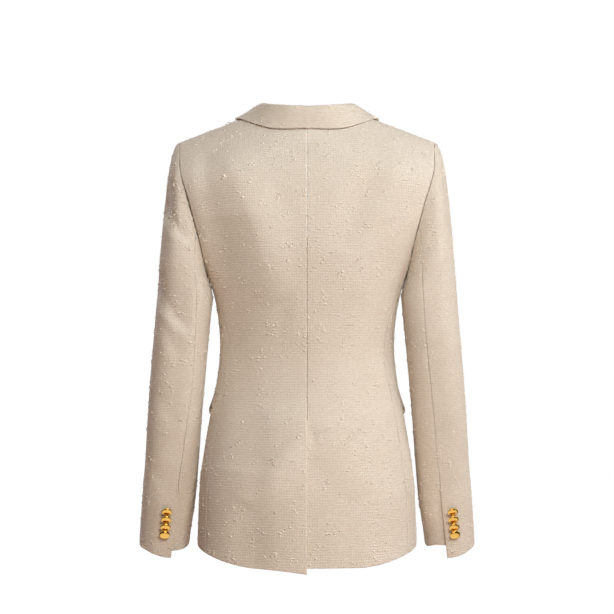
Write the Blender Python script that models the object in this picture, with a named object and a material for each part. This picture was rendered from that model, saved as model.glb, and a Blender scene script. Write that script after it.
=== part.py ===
"""A double breasted blazer, filled out as if worn, with nobody in it.

Frame, in metres: +Z up, the back of the coat faces +Y, the wearer's left is +X. The origin lies on
the middle of the line over both shoulders, level with the nape, where a wearer carries the coat.

Every piece of cloth is a wall of one thickness on a surface that is a function of two numbers from
0 to 1. The body pieces share one hollow form, so their seams meet, and what lies on a piece is made
from the same points, moved out. Each piece is worked out for the wearer's left and turned over for
the right.
"""

import math

import bmesh
import bpy
import numpy as np
from mathutils import Matrix, Vector

LEFT, RIGHT = 1, -1
SIDE_NAME = {LEFT: "left", RIGHT: "right"}

# Cloth
WALL = 0.0018  # thickness of the tweed
SEAM = 0.00035  # open width left at a seam, so that the pieces stay apart
LAYER = WALL + 0.0012  # how far a piece that lies on another is moved out

# Shoulders and neck
SHOULDER_HALF = 0.192  # centre to the sleeve seam, along X
RIDGE_AT_CENTRE = 0.0569  # height of the shoulder line carried on to the centre
RIDGE_ROUND = 0.006  # how softly it turns over there
RIDGE_SLOPE = 0.384  # drop of the shoulder line for each metre outwards
ARCH = 0.080  # height over which the back and the chest turn in to the shoulder line
NECK_HALF = 0.077  # centre to the neck end of the shoulder seam
NAPE_Z = 0.014  # neck seam at the centre of the back
NECKLINE_POWER = 2.2  # how squarely the back neckline turns up to the shoulder

# Armhole
ARMPIT_Z = -0.218
TIP_Z = RIDGE_AT_CENTRE - RIDGE_SLOPE * (math.hypot(SHOULDER_HALF, RIDGE_ROUND) - RIDGE_ROUND)
ARMHOLE_BACK = 18.0  # degrees from the side line to the deepest point of the armhole, behind
ARMHOLE_FRONT = 17.5  # the same in front
ARMHOLE_ROUND = (2.0, 1.1)  # how softly the armhole turns at the shoulder and under the arm

# Lengths
HEM_SIDE_Z = -0.616
HEM_DROP = 0.0258  # how much lower the hem hangs at the centre
HEM_LEVEL_ANGLE = 34.0  # degrees each side of the centre over which the hem is level
VENT_TOP_Z = -0.427
VENT_LAP = 0.035  # width of the right back under the left one
VENT_SLANT = 0.028  # height over which the lap's top edge slants out to that width
VENT_LIFT = 0.0030
VENT_FADE = (0.042, 0.080)  # distances from the centre between which the lift ends
VENT_SWING = 0.008  # how much further out its lower corner stands
VENT_SWING_WIDTH = 0.085
VENT_CORNER_DROP = 0.008

# Front
FRONT_LAP = 0.068  # how far each front passes the centre
BREAK_Z = -0.320  # where the lapel starts to turn back
LAP_LIFT = 2 * LAYER  # the right front lies on the left one and on its lapel
LAP_FADE = (0.080, 0.130)  # the lift ends between these distances from the centre
LAP_RISE_Z = (-0.145, -0.060)  # and between these heights
GORGE_Z = -0.008  # where the neck seam meets the turned edge
NOTCH = (0.098, -0.052)
PEAK = (0.1506, -0.0275)
ROLL_SWELL = 0.0030  # how far the lapel swells out beside the roll line
BELLY = (0.072, -0.205)  # the lapel's outer edge swells towards this point

# Sleeves
SLEEVE_SQUARE = 2.7  # squareness of its level sections, as for the body form below
SLEEVE_TOP_Z = -0.250  # above it the sleeve turns in to the armhole
CUFF_Z = -0.616
CUFF_TILT = 0.27  # drop of the cuff for each metre backwards
CUFF_VENT = 0.075
CUFF_LAP = 0.020
CUFF_CORNER_DROP = 0.010
CUFF_CORNER_TURN = 75.0  # degrees round the sleeve over which the top sleeve's corner drops
UNDER_CUFF_RISE = {LEFT: 0.0, RIGHT: 0.0085}  # how much the under sleeve's corner is drawn up
CUFF_SPREAD = 0.0020  # how far the two laps of the vent part from the seam line, each way
FORE_SEAM = -125.0  # degrees round the sleeve from its outer side, backwards positive

# Pocket flaps
FLAP_TOP_Z = -0.374
FLAP_HEIGHT = 0.050
FLAP_BACK_ANGLE = 100.0
FLAP_FRONT_X = 0.078
FLAP_LAYER = WALL + 0.0006  # how far out its top edge lies
FLAP_STAND = 0.0050  # how much further out its lower edge stands
FLAP_ROUND = 0.12  # share of the flap's length in which its corners are rounded

# Buttons
CUFF_BUTTON_RADIUS = 0.0078
CUFF_BUTTON_STEP = 0.0110
CUFF_BUTTON_FIRST_Z = -0.5535
FRONT_BUTTON_RADIUS = 0.0105
FRONT_BUTTON_PLACES = ((0.085, -0.255), (0.052, -0.345), (0.052, -0.430))

CUFF_BUTTON_TURN = {LEFT: 90.0, RIGHT: 80.0}  # degrees round each sleeve
CUFF_BUTTON_TIPS = (42, 41, 39, 33)  # degrees that each button hangs over, from the cuff up
CUFF_BUTTON_STAND = 0.0028  # the stem's end stands this far out of the cloth, level
CUFF_STEM_GAP = 0.0026  # and this far along the stem, because it leans
FRONT_STEM_GAP = 0.0012
BUTTON_STEPS = 12


def table(names, *rows):
    """A short table as one array for each named column; its rows rise in the first column."""
    return dict(zip(names.split(), np.array(rows, dtype=float).T))


# The hollow body form, from the hem up. A squareness of 2 is an ellipse, more is squarer.
BODY = table(
    "z       half_width back_depth front_depth back_square front_square",
    (-0.660, 0.1650, 0.120, 0.126, 2.4, 2.3),
    (-0.580, 0.1630, 0.119, 0.124, 2.4, 2.3),
    (-0.520, 0.1600, 0.116, 0.122, 2.4, 2.3),
    (-0.460, 0.1515, 0.107, 0.118, 2.3, 2.3),
    (-0.415, 0.1435, 0.097, 0.114, 2.3, 2.2),
    (-0.370, 0.1350, 0.087, 0.110, 2.3, 2.2),
    (-0.325, 0.1305, 0.081, 0.110, 2.3, 2.1),
    (-0.280, 0.1330, 0.084, 0.120, 2.4, 2.1),
    (-0.250, 0.1380, 0.088, 0.128, 2.5, 2.0),
    (-0.222, 0.1460, 0.091, 0.131, 2.6, 2.0),
    (-0.165, 0.1690, 0.095, 0.122, 2.6, 2.0),
    (-0.112, 0.1960, 0.092, 0.108, 2.6, 2.0),
    (-0.055, 0.2210, 0.079, 0.086, 2.6, 2.0),
    (-0.017, 0.2150, 0.063, 0.064, 2.6, 2.0),
    (0.014, 0.2120, 0.050, 0.050, 2.6, 2.0),
    (0.060, 0.2100, 0.042, 0.042, 2.6, 2.0),
)
# Seams of the side pieces, in degrees from the centre back.
SIDE_SEAMS = table(
    "z       back front",
    (-0.660, 68.0, 107.0),
    (-0.500, 68.0, 106.0),
    (-0.400, 69.5, 105.0),
    (-0.327, 68.5, 104.0),
    (-0.290, 71.0, 103.8),
    (-0.250, 75.5, 103.5),
    (-0.190, 78.9, 101.7),
)
SIDE_TOP_Z = -0.190  # where the side piece's two seams run into the armhole

# The largest folds of the back. Each has its depth, less than nothing for a ridge, and the points
# that its line runs through from the top down: X, Z and how far the fold reaches to the right and
# to the left of it, seen from behind; all in mm.
FOLDS = (
    (-7.0, (127, -25, 30, 26), (109, -63, 38, 34), (93, -100, 42, 38), (78, -138, 44, 40),
     (69, -175, 42, 42), (58, -212, 38, 42), (46, -255, 30, 40)),
    (4.0, (152, -24, 24, 12), (148, -100, 46, 20), (138, -140, 48, 22), (130, -178, 50, 24),
     (124, -215, 50, 30)),
    (13.0, (128, -130, 50, 30), (122, -190, 62, 40), (114, -250, 78, 60), (104, -320, 92, 70),
     (96, -385, 96, 80), (94, -440, 80, 80), (100, -500, 70, 80)),
    (-3.5, (6, -424, 24, 20), (30, -470, 34, 30), (62, -512, 40, 34), (92, -552, 34, 30)),
    (-3.5, (-6, -430, 20, 16), (-32, -457, 24, 30), (-52, -481, 26, 34), (-74, -505, 26, 36),
     (-100, -528, 26, 30)),
    (4.0, (-118, -22, 24, 24), (-98, -63, 28, 30), (-72, -123, 28, 34), (-50, -178, 26, 30)),
)
FOLD_BLUNT = 0.16  # how round a fold's ridges and bottom are
FOLD_END = 0.6  # how softly it runs out at its ends, less is shorter
SEAM_CALM = 8.0  # beside the armhole they end over one part in this many of the back's width
FOLDS_PASS_Z = (-0.225, -0.185)  # below these heights they pass on to the side piece

SLEEVE = table(
    "z       outer_x inner_x middle_y half_depth",
    (-0.660, 0.2560, 0.1820, -0.049, 0.042),
    (-0.610, 0.2535, 0.1775, -0.044, 0.043),
    (-0.550, 0.2490, 0.1685, -0.033, 0.045),
    (-0.490, 0.2435, 0.1630, -0.021, 0.048),
    (-0.430, 0.2395, 0.1584, -0.010, 0.051),
    (-0.370, 0.2350, 0.1530, -0.002, 0.054),
    (-0.310, 0.2296, 0.1475, 0.002, 0.058),
    (-0.250, 0.2248, 0.1415, 0.003, 0.061),
)
# The seam behind the elbow, in degrees round the sleeve; the two sleeves hang a little differently.
HIND_SEAM = table(
    "z       left right",
    (-0.640, 107.0, 98.0),
    (-0.560, 110.0, 100.0),
    (-0.517, 111.0, 101.0),
    (-0.466, 117.0, 104.0),
    (-0.388, 126.0, 106.0),
    (-0.310, 124.0, 108.0),
    (-0.240, 118.0, 106.0),
    (-0.150, 110.0, 104.0),
)
# Half of the collar from the centre back to the notch: the fold, and the outer edge as its distance
# from the centre and its place over the shoulder (0 behind, 90 on the shoulder line, 180 in front).
# off is how far the lower edge of the stand keeps off the neck seam.
COLLAR = table(
    "along fold_x  fold_y  fold_z edge_x edge_over off_x off_y off_z",
    (0.00, 0.0000, 0.0520, 0.0371, 0.000, 17.8, 0.0000, -0.0014, 0.0014),
    (0.16, 0.0300, 0.0490, 0.0386, 0.031, 25.0, -0.0006, -0.0014, 0.0016),
    (0.32, 0.0550, 0.0340, 0.0412, 0.063, 37.5, -0.0014, -0.0010, 0.0018),
    (0.46, 0.0675, 0.0120, 0.0436, 0.0890, 58.0, -0.0024, -0.0004, 0.0022),
    (0.58, 0.0710, -0.0080, 0.0410, 0.1060, 84.0, -0.0022, 0.0000, 0.0014),
    (0.72, 0.0695, -0.0280, 0.0270, 0.1080, 120.0, -0.0025, 0.0003, 0.0008),
    (0.86, 0.0645, -0.0450, 0.0090, 0.115, 151.5, -0.0045, 0.0008, -0.0010),
    (1.00, 0.0590, -0.0550, -0.0050, 0.098, 175.6, -0.0070, 0.0014, -0.0010),
)
COLLAR_SHOULDER = 0.52  # where along the collar the shoulder seam is
COLLAR_CORNER = 0.86
COLLAR_REST = 0.0036  # how far the fall stands off the back
COLLAR_NEAR = WALL + 0.0006  # and off the shoulder, where it lies closest
GORGE_END = 0.985  # the collar stops just short of the notch
STAND_SHARE = 0.4  # share of the rows across the collar that its stand takes
FOLD_REACH = 0.019  # how softly the stand turns over into the fall
STEM_LENGTH = 0.66  # from the rim's level to the stem's end, as a share of the button's radius
BUTTON_PROFILE = (  # radius and height, as shares of the button's radius, from the top to the stem
    (0.0, 0.36),
    (0.50, 0.30),
    (0.86, 0.12),
    (1.0, -0.04),
    (0.86, -0.14),
    (0.30, -0.18),
    (0.26, -STEM_LENGTH),
    (0.0, -STEM_LENGTH),
)


def smooth(rows, column, at):
    """The table's column at a place in its first column, on a smooth curve through the rows."""
    knots = next(iter(rows.values()))
    values = rows[column]
    slopes = np.gradient(values, knots)
    at = np.clip(at, knots[0], knots[-1])
    low = np.clip(np.searchsorted(knots, at) - 1, 0, len(knots) - 2)
    gap = knots[low + 1] - knots[low]
    t = (at - knots[low]) / gap
    start = values[low] * (1 + 2 * t) * (1 - t) ** 2 + slopes[low] * gap * t * (1 - t) ** 2
    end = values[low + 1] * t**2 * (3 - 2 * t) + slopes[low + 1] * gap * t**2 * (t - 1)
    return start + end


def mix(a, b, share):
    return a + (b - a) * share


def ease(share):
    """0 to 1 with a soft start and end."""
    share = np.clip(share, 0, 1)
    return share * share * (3 - 2 * share)


def fade(at, full, none):
    """1 at full, 0 at none and beyond."""
    return ease((none - at) / (none - full))


def even(count):
    return np.linspace(0, 1, count)


def points(x, y, z):
    return np.stack(np.broadcast_arrays(x, y, z), axis=-1)


# The body form


def ridge(x):
    """Height of the shoulder line."""
    return RIDGE_AT_CENTRE - RIDGE_SLOPE * (np.hypot(x, RIDGE_ROUND) - RIDGE_ROUND)


def arch(x, z):
    """Share of the full depth that is left where the form turns in to the shoulder line."""
    rise = np.clip((z - ridge(x) + ARCH) / ARCH, 0, 1)
    return np.sqrt(1 - rise * rise)


def half_form(z, in_front):
    depth = np.where(in_front, smooth(BODY, "front_depth", z), smooth(BODY, "back_depth", z))
    square = np.where(in_front, smooth(BODY, "front_square", z), smooth(BODY, "back_square", z))
    return smooth(BODY, "half_width", z), depth, square


def body(angle, z):
    """The form at an angle from the centre back, round the wearer's left side to the front."""
    across = np.sin(np.radians(angle))
    behind = np.cos(np.radians(angle))
    half_width, depth, square = half_form(z, behind < 0)
    reach = (np.abs(across / half_width) ** square + np.abs(behind / depth) ** square) ** (-1 / square)
    x = reach * across
    return points(x, reach * behind * arch(x, z), z)


def depth_at(x, z, in_front):
    half_width, depth, square = half_form(z, in_front)
    return depth * (1 - np.minimum(np.abs(x) / half_width, 1) ** square) ** (1 / square)


def angle_at(x, z, in_front):
    """The angle at which the form has this X."""
    behind = depth_at(x, z, in_front) * np.where(in_front, -1, 1)
    return np.degrees(np.arctan2(x, behind)) % 360


def unit(vectors):
    return vectors / np.linalg.norm(vectors, axis=-1, keepdims=True)


def body_out(angle, z):
    """Unit normals of the form: its own two directions crossed, and near the shoulder line, where it
    turns over, the gradient of the shape it is a section of."""
    turn, rise = 0.05, 0.0002
    along = body(angle + turn, z) - body(angle - turn, z)
    up = body(angle, z + rise) - body(angle, z - rise)
    x, y, _ = np.moveaxis(body(angle, z), -1, 0)
    in_front, step = np.cos(np.radians(angle)) < 0, 1e-5

    def within(x, z):
        risen = np.clip((z - ridge(x) + ARCH) / ARCH, 0, 2)
        return (y / np.maximum(depth_at(x, z, in_front), 1e-4)) ** 2 + risen**2

    depth = np.maximum(depth_at(x, z, in_front), 1e-4)
    gradient = points(
        within(x + step, z) - within(x - step, z),
        4 * step * y / depth**2,
        within(x, z + step) - within(x, z - step),
    )
    return unit(np.where((z > ridge(x) - ARCH)[..., None], gradient, np.cross(up, along)))


def lifted(angle, z, lift):
    """The form moved out by lift."""
    return body(angle, z) + body_out(angle, z) * np.asarray(lift)[..., None]


def over_shoulder(x, over):
    """The same form near the shoulder line, by its place over it: 0 behind, 180 in front."""
    z = ridge(x) - ARCH * (1 - np.sin(np.radians(over)))
    return points(x, np.cos(np.radians(over)) * depth_at(x, z, over > 90), z)


def fold_depth(folds, x, z):
    """How deep in the cloth lies at X and Z: a fold falls evenly from its ridges to its bottom."""
    total, blunt = np.zeros_like(x), FOLD_BLUNT
    for depth, *stops in folds:
        stops = np.array(stops) / 1000
        runs = np.linalg.norm(np.diff(stops[:, :2], axis=0), axis=1)
        passed = np.concatenate([[0], np.cumsum(runs)]) / runs.sum()
        nearest, here = np.full_like(x, np.inf), np.zeros_like(x)
        for start, end, run, before, after in zip(stops, stops[1:], runs, passed, passed[1:]):
            step_x, step_z = (end - start)[:2]
            away_x, away_z = x - start[0], z - start[1]
            along = np.clip((away_x * step_x + away_z * step_z) / run**2, 0, 1)
            aside = np.hypot(away_x - along * step_x, away_z - along * step_z)
            right, left = (mix(start[i], end[i], along) for i in (2, 3))
            reach = np.where(step_x * away_z > step_z * away_x, left, right)
            up = 1 + blunt - np.hypot(aside / reach, blunt)
            strength = np.sin(math.pi * mix(before, after, along)) ** FOLD_END
            here = np.where(aside < nearest, strength * (up + np.hypot(up, blunt)) / 2, here)
            nearest = np.minimum(aside, nearest)
        total += depth / 1000 * here
    return total


def drawn_in(place, depth):
    """The place, moved to the front by a fold."""
    return place - points(0 * depth, depth, 0 * depth)


def hem_z(angle):
    from_centre = np.abs((np.asarray(angle) + 90) % 180 - 90)
    return HEM_SIDE_Z - HEM_DROP * fade(from_centre, HEM_LEVEL_ANGLE, 90)


def neckline_z(x):
    """Height of the neck seam behind."""
    return mix(NAPE_Z, ridge(NECK_HALF), (x / NECK_HALF) ** NECKLINE_POWER)


def armhole_angle(z, in_front):
    """Where the armhole's edge is at a height."""
    middle = (TIP_Z + ARMPIT_Z) / 2
    height = np.clip((z - middle) / (TIP_Z - middle), -1, 1)
    open_by = (1 - height**2) ** (np.where(height > 0, *ARMHOLE_ROUND) / 2)
    deepest = np.where(in_front, 90 + ARMHOLE_FRONT, 90 - ARMHOLE_BACK)
    tip = np.where(in_front, *(angle_at(SHOULDER_HALF, TIP_Z, front) for front in (True, False)))
    return mix(np.where(height > 0, tip, 90), deepest, open_by)


def armhole_point(turn):
    """The armhole's edge, by its turn from the shoulder tip: 90 behind, 180 under the arm."""
    middle = (TIP_Z + ARMPIT_Z) / 2
    z = middle + (TIP_Z - middle) * np.cos(np.radians(turn))
    return body(armhole_angle(z, np.sin(np.radians(turn)) < 0), z)


def seam_turn(radius=0.12):
    """Half of an open seam, as degrees round the body."""
    return math.degrees(SEAM / 2 / radius)


# Laying out a piece


def patch(bottom, top, first, last):
    """A flat layout between four edges, each a function of 0 to 1 that gives a pair of numbers."""

    def layout(u, v):
        across = mix(bottom(u), top(u), v[..., None])
        up = mix(first(v), last(v), u[..., None])
        zero, one = np.zeros_like(u), np.ones_like(u)
        low = mix(bottom(zero), bottom(one), u[..., None])
        high = mix(top(zero), top(one), u[..., None])
        pair = across + up - mix(low, high, v[..., None])
        return pair[..., 0], pair[..., 1]

    return layout


def pair(a, b):
    return np.stack(np.broadcast_arrays(a, b), axis=-1)


def in_by_seam(x, z):
    """A point of an outer edge moved in by half a seam, along the shoulder line's slope."""
    return pair(x - SEAM / 2, z + RIDGE_SLOPE * SEAM / 2)


def body_patch(*edges):
    """A patch between edges given in X and Z, worked out in X and the drop below the shoulder line,
    so that no row crosses that line."""

    def dropped(edge):
        def line(t):
            x, z = np.moveaxis(edge(t), -1, 0)
            return pair(x, ridge(x) - z)

        return line

    layout = patch(*(dropped(edge) for edge in edges))

    def places(u, v):
        x, drop = layout(u, v)
        return x, ridge(x) - drop

    return places


def path(t, *corners):
    """A pair on the straight lines through corners that are evenly spaced in t."""
    corners = np.array(corners)
    knots = np.linspace(0, 1, len(corners))
    return pair(np.interp(t, knots, corners[:, 0]), np.interp(t, knots, corners[:, 1]))


def rows_to_shoulder(count, low=HEM_SIDE_Z - HEM_DROP, high=NAPE_Z):
    """Rows from the hem up, as shares of the height, that crowd where the form turns over."""
    turn_rows = np.radians([0, 20, 38, 54, 68, 80, 90])
    turning = high - ARCH * (1 - np.sin(turn_rows))
    plain = np.linspace(low, turning[0], count - len(turning) + 2)[:-1]
    return (np.concatenate([plain, turning]) - low) / (high - low)


# Making solids


def outward(face, u, v):
    """Unit normals of a face at arrays of u and v, also right on its edges."""
    step = 1e-4
    along = face(np.minimum(u + step, 1), v) - face(np.maximum(u - step, 0), v)
    up = face(u, np.minimum(v + step, 1)) - face(u, np.maximum(v - step, 0))
    return unit(np.cross(up, along))


def thick(face):
    """A face as a surface that can also be asked for at a depth into the cloth."""
    return lambda u, v, sunk=0.0: face(u, v) - outward(face, u, v) * np.asarray(sunk)[..., None]


def material(name, colour, roughness, metallic=0.0):
    made = bpy.data.materials.new(name)
    made.use_nodes = True
    shader = made.node_tree.nodes["Principled BSDF"]
    shader.inputs["Base Color"].default_value = (*colour, 1)
    shader.inputs["Roughness"].default_value = roughness
    shader.inputs["Metallic"].default_value = metallic
    made.diffuse_color = (*colour, 1)
    return made


def finish(shape, name, colour, collection):
    mesh = bpy.data.meshes.new(name)
    shape.to_mesh(mesh)
    shape.free()
    mesh.shade_smooth()
    mesh.set_sharp_from_angle(angle=math.radians(40))
    made = bpy.data.objects.new(name, mesh)
    mesh.materials.append(colour)
    collection.objects.link(made)
    return made


def cloth(name, side, surface, columns, rows, colour, collection):
    """A wall of cloth between a surface and the same surface at a depth of WALL. A Solidify modifier
    isn't used for it, because at an edge its normals lean over the seam."""
    u, v = np.meshgrid(np.asarray(columns, float), np.asarray(rows, float))
    outer, inner = surface(u, v, 0.0), surface(u, v, WALL)
    turned = np.array((side, 1, 1))
    shape = bmesh.new()
    faces = [[[shape.verts.new(p * turned) for p in row] for row in grid] for grid in (outer, inner)]
    height, width = u.shape
    for row in range(height - 1):
        for column in range(width - 1):
            for grid, order in zip(faces, (1, -1)):
                ring = (
                    grid[row][column],
                    grid[row + 1][column],
                    grid[row + 1][column + 1],
                    grid[row][column + 1],
                )
                shape.faces.new(ring[:: order * side])
    rim = [(0, c) for c in range(width)]
    rim += [(r, width - 1) for r in range(1, height)]
    rim += [(height - 1, c) for c in range(width - 2, -1, -1)]
    rim += [(r, 0) for r in range(height - 2, 0, -1)]
    for here, there in zip(rim, rim[1:] + rim[:1]):
        ring = (
            faces[0][here[0]][here[1]],
            faces[0][there[0]][there[1]],
            faces[1][there[0]][there[1]],
            faces[1][here[0]][here[1]],
        )
        shape.faces.new(ring[::side])
    bmesh.ops.triangulate(shape, faces=shape.faces, quad_method="SHORT_EDGE")
    return finish(shape, name, colour, collection)


# Body pieces


def back_surface(side):
    """One half of the back, from the centre seam to the side seam and from the hem to the shoulder.
    Below the vent's top the left half stands out over the right one, which reaches on under it."""
    low, neck_share = hem_z(0), 0.3

    def centre(v):
        z = mix(low, NAPE_Z, v)
        under = np.clip((VENT_TOP_Z - z) / VENT_SLANT, 0, 1) * (side == RIGHT)
        drop = VENT_CORNER_DROP * fade(z, low, VENT_TOP_Z) * (side == LEFT)
        return pair(mix(SEAM / 2, -VENT_LAP, under), z - drop)

    def side_edge(v):
        z = mix(hem_z(SIDE_SEAMS["back"][0]), TIP_Z, v)
        seam = smooth(SIDE_SEAMS, "back", z)
        angle = np.where(z < SIDE_TOP_Z, seam, armhole_angle(z, False))
        return in_by_seam(body(angle, z)[..., 0], z)

    def hem(u):
        x = mix(centre(u * 0)[..., 0], side_edge(u * 0)[..., 0], u)
        drop = VENT_CORNER_DROP * (1 - u) ** 3 * (side == LEFT)
        return pair(x, hem_z(angle_at(x, low, False)) - drop)

    def shoulder(u):
        neck_x = mix(SEAM / 2, NECK_HALF, np.minimum(u / neck_share, 1))
        seam_x = mix(NECK_HALF, SHOULDER_HALF - SEAM / 2, (u - neck_share) / (1 - neck_share))
        x = np.where(u < neck_share, neck_x, seam_x)
        return pair(x, np.where(u < neck_share, neckline_z(neck_x), ridge(seam_x)))

    layout = body_patch(hem, shoulder, centre, side_edge)

    def surface(u, v, sunk=0.0):
        x, z = layout(u, v)
        lift = VENT_LIFT * fade(x, *VENT_FADE) * fade(z, VENT_TOP_Z, VENT_TOP_Z + 0.03)
        lift = lift + VENT_SWING * fade(x, 0, VENT_SWING_WIDTH) * fade(z, low, VENT_TOP_Z)
        lift = lift * (side == LEFT)
        calm = mix(ease((1 - u) * SEAM_CALM), 1, fade(z, *FOLDS_PASS_Z))
        place = lifted(angle_at(x, z, False), z, lift - sunk) + np.array((0, SEAM * 0.7, 0))
        return drawn_in(place, fold_depth(FOLDS, side * x, z) * calm)

    return surface


def side_surface(side):
    """The side piece, from the back seam to the front seam and from the hem to the armhole."""

    def edge(column, top_z, inwards):
        def line(v):
            z = mix(hem_z(SIDE_SEAMS[column][0]), top_z, v)
            return pair(smooth(SIDE_SEAMS, column, z) + inwards * seam_turn(), z)

        return line

    back_edge = edge("back", SIDE_TOP_Z, 1)
    front_edge = edge("front", SIDE_TOP_Z, -1)

    def underarm(u):
        middle = (TIP_Z + ARMPIT_Z) / 2
        start, end = (
            math.degrees(math.acos((z - middle) / (TIP_Z - middle)))
            for z in (SIDE_TOP_Z, SIDE_TOP_Z)
        )
        turn = mix(start, 360 - end, u)
        z = middle + (TIP_Z - middle) * np.cos(np.radians(turn))
        angle = armhole_angle(z, turn > 180)
        inside = seam_turn() * (1 - 2 * u)
        return pair(angle + inside, z - SEAM)

    def hem(u):
        angle = mix(back_edge(u * 0)[..., 0], front_edge(u * 0)[..., 0], u)
        return pair(angle, hem_z(angle))

    layout = patch(hem, underarm, back_edge, front_edge)

    def surface(u, v, sunk=0.0):
        angle, z = layout(u, v)
        folded_by = fold_depth(FOLDS, side * body(angle, z)[..., 0], z) * fade(z, *FOLDS_PASS_Z)
        return drawn_in(lifted(angle, z, -sunk), folded_by * ease(1 - u))

    return surface


def turned_edge_x(z):
    """X of the left front's edge: straight below the break, and the lapel's roll line above it."""
    top_z = ridge(NECK_HALF)
    return -FRONT_LAP + (NECK_HALF + FRONT_LAP) * np.clip((z - BREAK_Z) / (top_z - BREAK_Z), 0, 1)


def lap_lift(side, x, z):
    """How far the right front lies out over the left one."""
    if side == LEFT:
        return np.zeros_like(x)
    return LAP_LIFT * fade(x, *LAP_FADE) * fade(z, *LAP_RISE_Z)


def front_surface(side):
    """One front, from the side piece and armhole to its edge, and from the hem to the shoulder."""
    low = hem_z(180)

    def side_edge(v):
        z = mix(hem_z(SIDE_SEAMS["front"][0]), TIP_Z, v)
        seam = smooth(SIDE_SEAMS, "front", z)
        angle = np.where(z < SIDE_TOP_Z, seam, armhole_angle(z, True))
        return in_by_seam(body(angle, z)[..., 0], z)

    def edge(v):
        z = mix(low, ridge(NECK_HALF), v)
        return pair(turned_edge_x(z), z)

    def hem(u):
        x = mix(side_edge(u * 0)[..., 0], edge(u * 0)[..., 0], u)
        return pair(x, np.where(x > 0, hem_z(angle_at(x, low, True)), low))

    def shoulder(u):
        x = mix(SHOULDER_HALF - SEAM / 2, NECK_HALF, u)
        return pair(x, ridge(x))

    layout = body_patch(hem, shoulder, side_edge, edge)

    def surface(u, v, sunk=0.0):
        x, z = layout(u, v)
        lift = lap_lift(side, x, z)
        return lifted(angle_at(x, z, True), z, lift - sunk) - np.array((0, SEAM * 0.7, 0))

    return surface


def lapel_surface(side):
    """The peak lapel, from the roll line to its outer edge and from the break to the gorge seam."""
    roll_top = (float(turned_edge_x(GORGE_Z)), GORGE_Z)

    def roll(v):
        z = mix(BREAK_Z, GORGE_Z, v)
        return pair(turned_edge_x(z) - 0.001, z)

    def belly(v):
        start = np.array((-FRONT_LAP + 0.008, BREAK_Z + 0.004))
        v = v[..., None]
        return start * (1 - v) ** 2 + 2 * np.array(BELLY) * v * (1 - v) + np.array(PEAK) * v**2

    def break_edge(u):
        return mix(roll(u * 0), belly(u * 0), u[..., None])

    def gorge(u):
        first = np.array(roll_top) - np.array((0.001, 0))
        return path(u, first, NOTCH, PEAK) - np.array((0, 2 * SEAM))

    layout = patch(break_edge, gorge, roll, belly)

    def surface(u, v, sunk=0.0):
        from_roll = 1 - u
        x, z = layout(from_roll, v)
        swell = ROLL_SWELL * np.sin(math.pi * np.minimum(from_roll / 0.5, 1))
        swell = swell * fade(z, -0.08, -0.15) * fade(z, -0.06, -0.03)
        lift = lap_lift(side, x, z) + LAYER + swell
        return lifted(angle_at(x, z, True), z, lift - sunk) - np.array((0, SEAM * 0.6, 0))

    return surface


# Collar


def clear_of_body(place, lift):
    """Points pushed out to at least lift above the form near the shoulder line."""
    x, y, z = np.moveaxis(place, -1, 0)
    centre_z = np.minimum(ridge(x) - ARCH, z)
    depth = np.maximum(depth_at(x, z, y < 0), 0.01)
    share = np.sqrt((y / depth) ** 2 + ((z - centre_z) / ARCH) ** 2)
    push = np.maximum((1 + lift / np.minimum(depth, ARCH)) / np.maximum(share, 0.2), 1)
    return points(x, y * push, centre_z + (z - centre_z) * push)


def neck_seam(along):
    """The collar's lower edge just off the neck seam, from the centre back to the roll line."""
    back_x = NECK_HALF * np.minimum(along / COLLAR_SHOULDER, 1)
    back_z = neckline_z(back_x)
    past_shoulder = np.clip((along - COLLAR_SHOULDER) / (1 - COLLAR_SHOULDER), 0, 1)
    front_z = mix(ridge(NECK_HALF), GORGE_Z, past_shoulder)
    front_x = turned_edge_x(front_z)
    on_back = along < COLLAR_SHOULDER
    x, z = np.where(on_back, back_x, front_x), np.where(on_back, back_z, front_z)
    y = depth_at(x, z, ~on_back) * arch(x, z) * np.where(on_back, 1, -1)
    off = points(*(smooth(COLLAR, f"off_{axis}", along) for axis in "xyz"))
    return points(x, y, z) + off


def gorge_line(share):
    """The collar's end along the gorge seam, from the roll line to the notch, lying on the front."""
    start = np.array((turned_edge_x(GORGE_Z), GORGE_Z))
    x, z = np.moveaxis(mix(start, np.array(NOTCH), np.asarray(share)[..., None]), -1, 0)
    z = z + 2.5 * SEAM
    return lifted(angle_at(x, z, True), z, LAYER + 0 * x)


def collar_edge(along):
    """The fall's outer edge: smooth to the collar's corner, then straight to the notch."""
    corner = np.minimum(along, COLLAR_CORNER)
    rest = mix(COLLAR_REST, COLLAR_NEAR, ease((along - 0.3) / 0.2))
    edge = over_shoulder(smooth(COLLAR, "edge_x", corner), smooth(COLLAR, "edge_over", corner))
    beyond = np.clip((along - COLLAR_CORNER) / (1 - COLLAR_CORNER), 0, 1)[..., None]
    return clear_of_body(mix(edge, gorge_line(GORGE_END + 0 * along), beyond), rest)


def hermite(start, end, leaving, arriving, t):
    t = t[..., None]
    return (
        start * (1 + 2 * t) * (1 - t) ** 2
        + leaving * t * (1 - t) ** 2
        + end * t**2 * (3 - 2 * t)
        + arriving * t**2 * (t - 1)
    )


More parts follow.
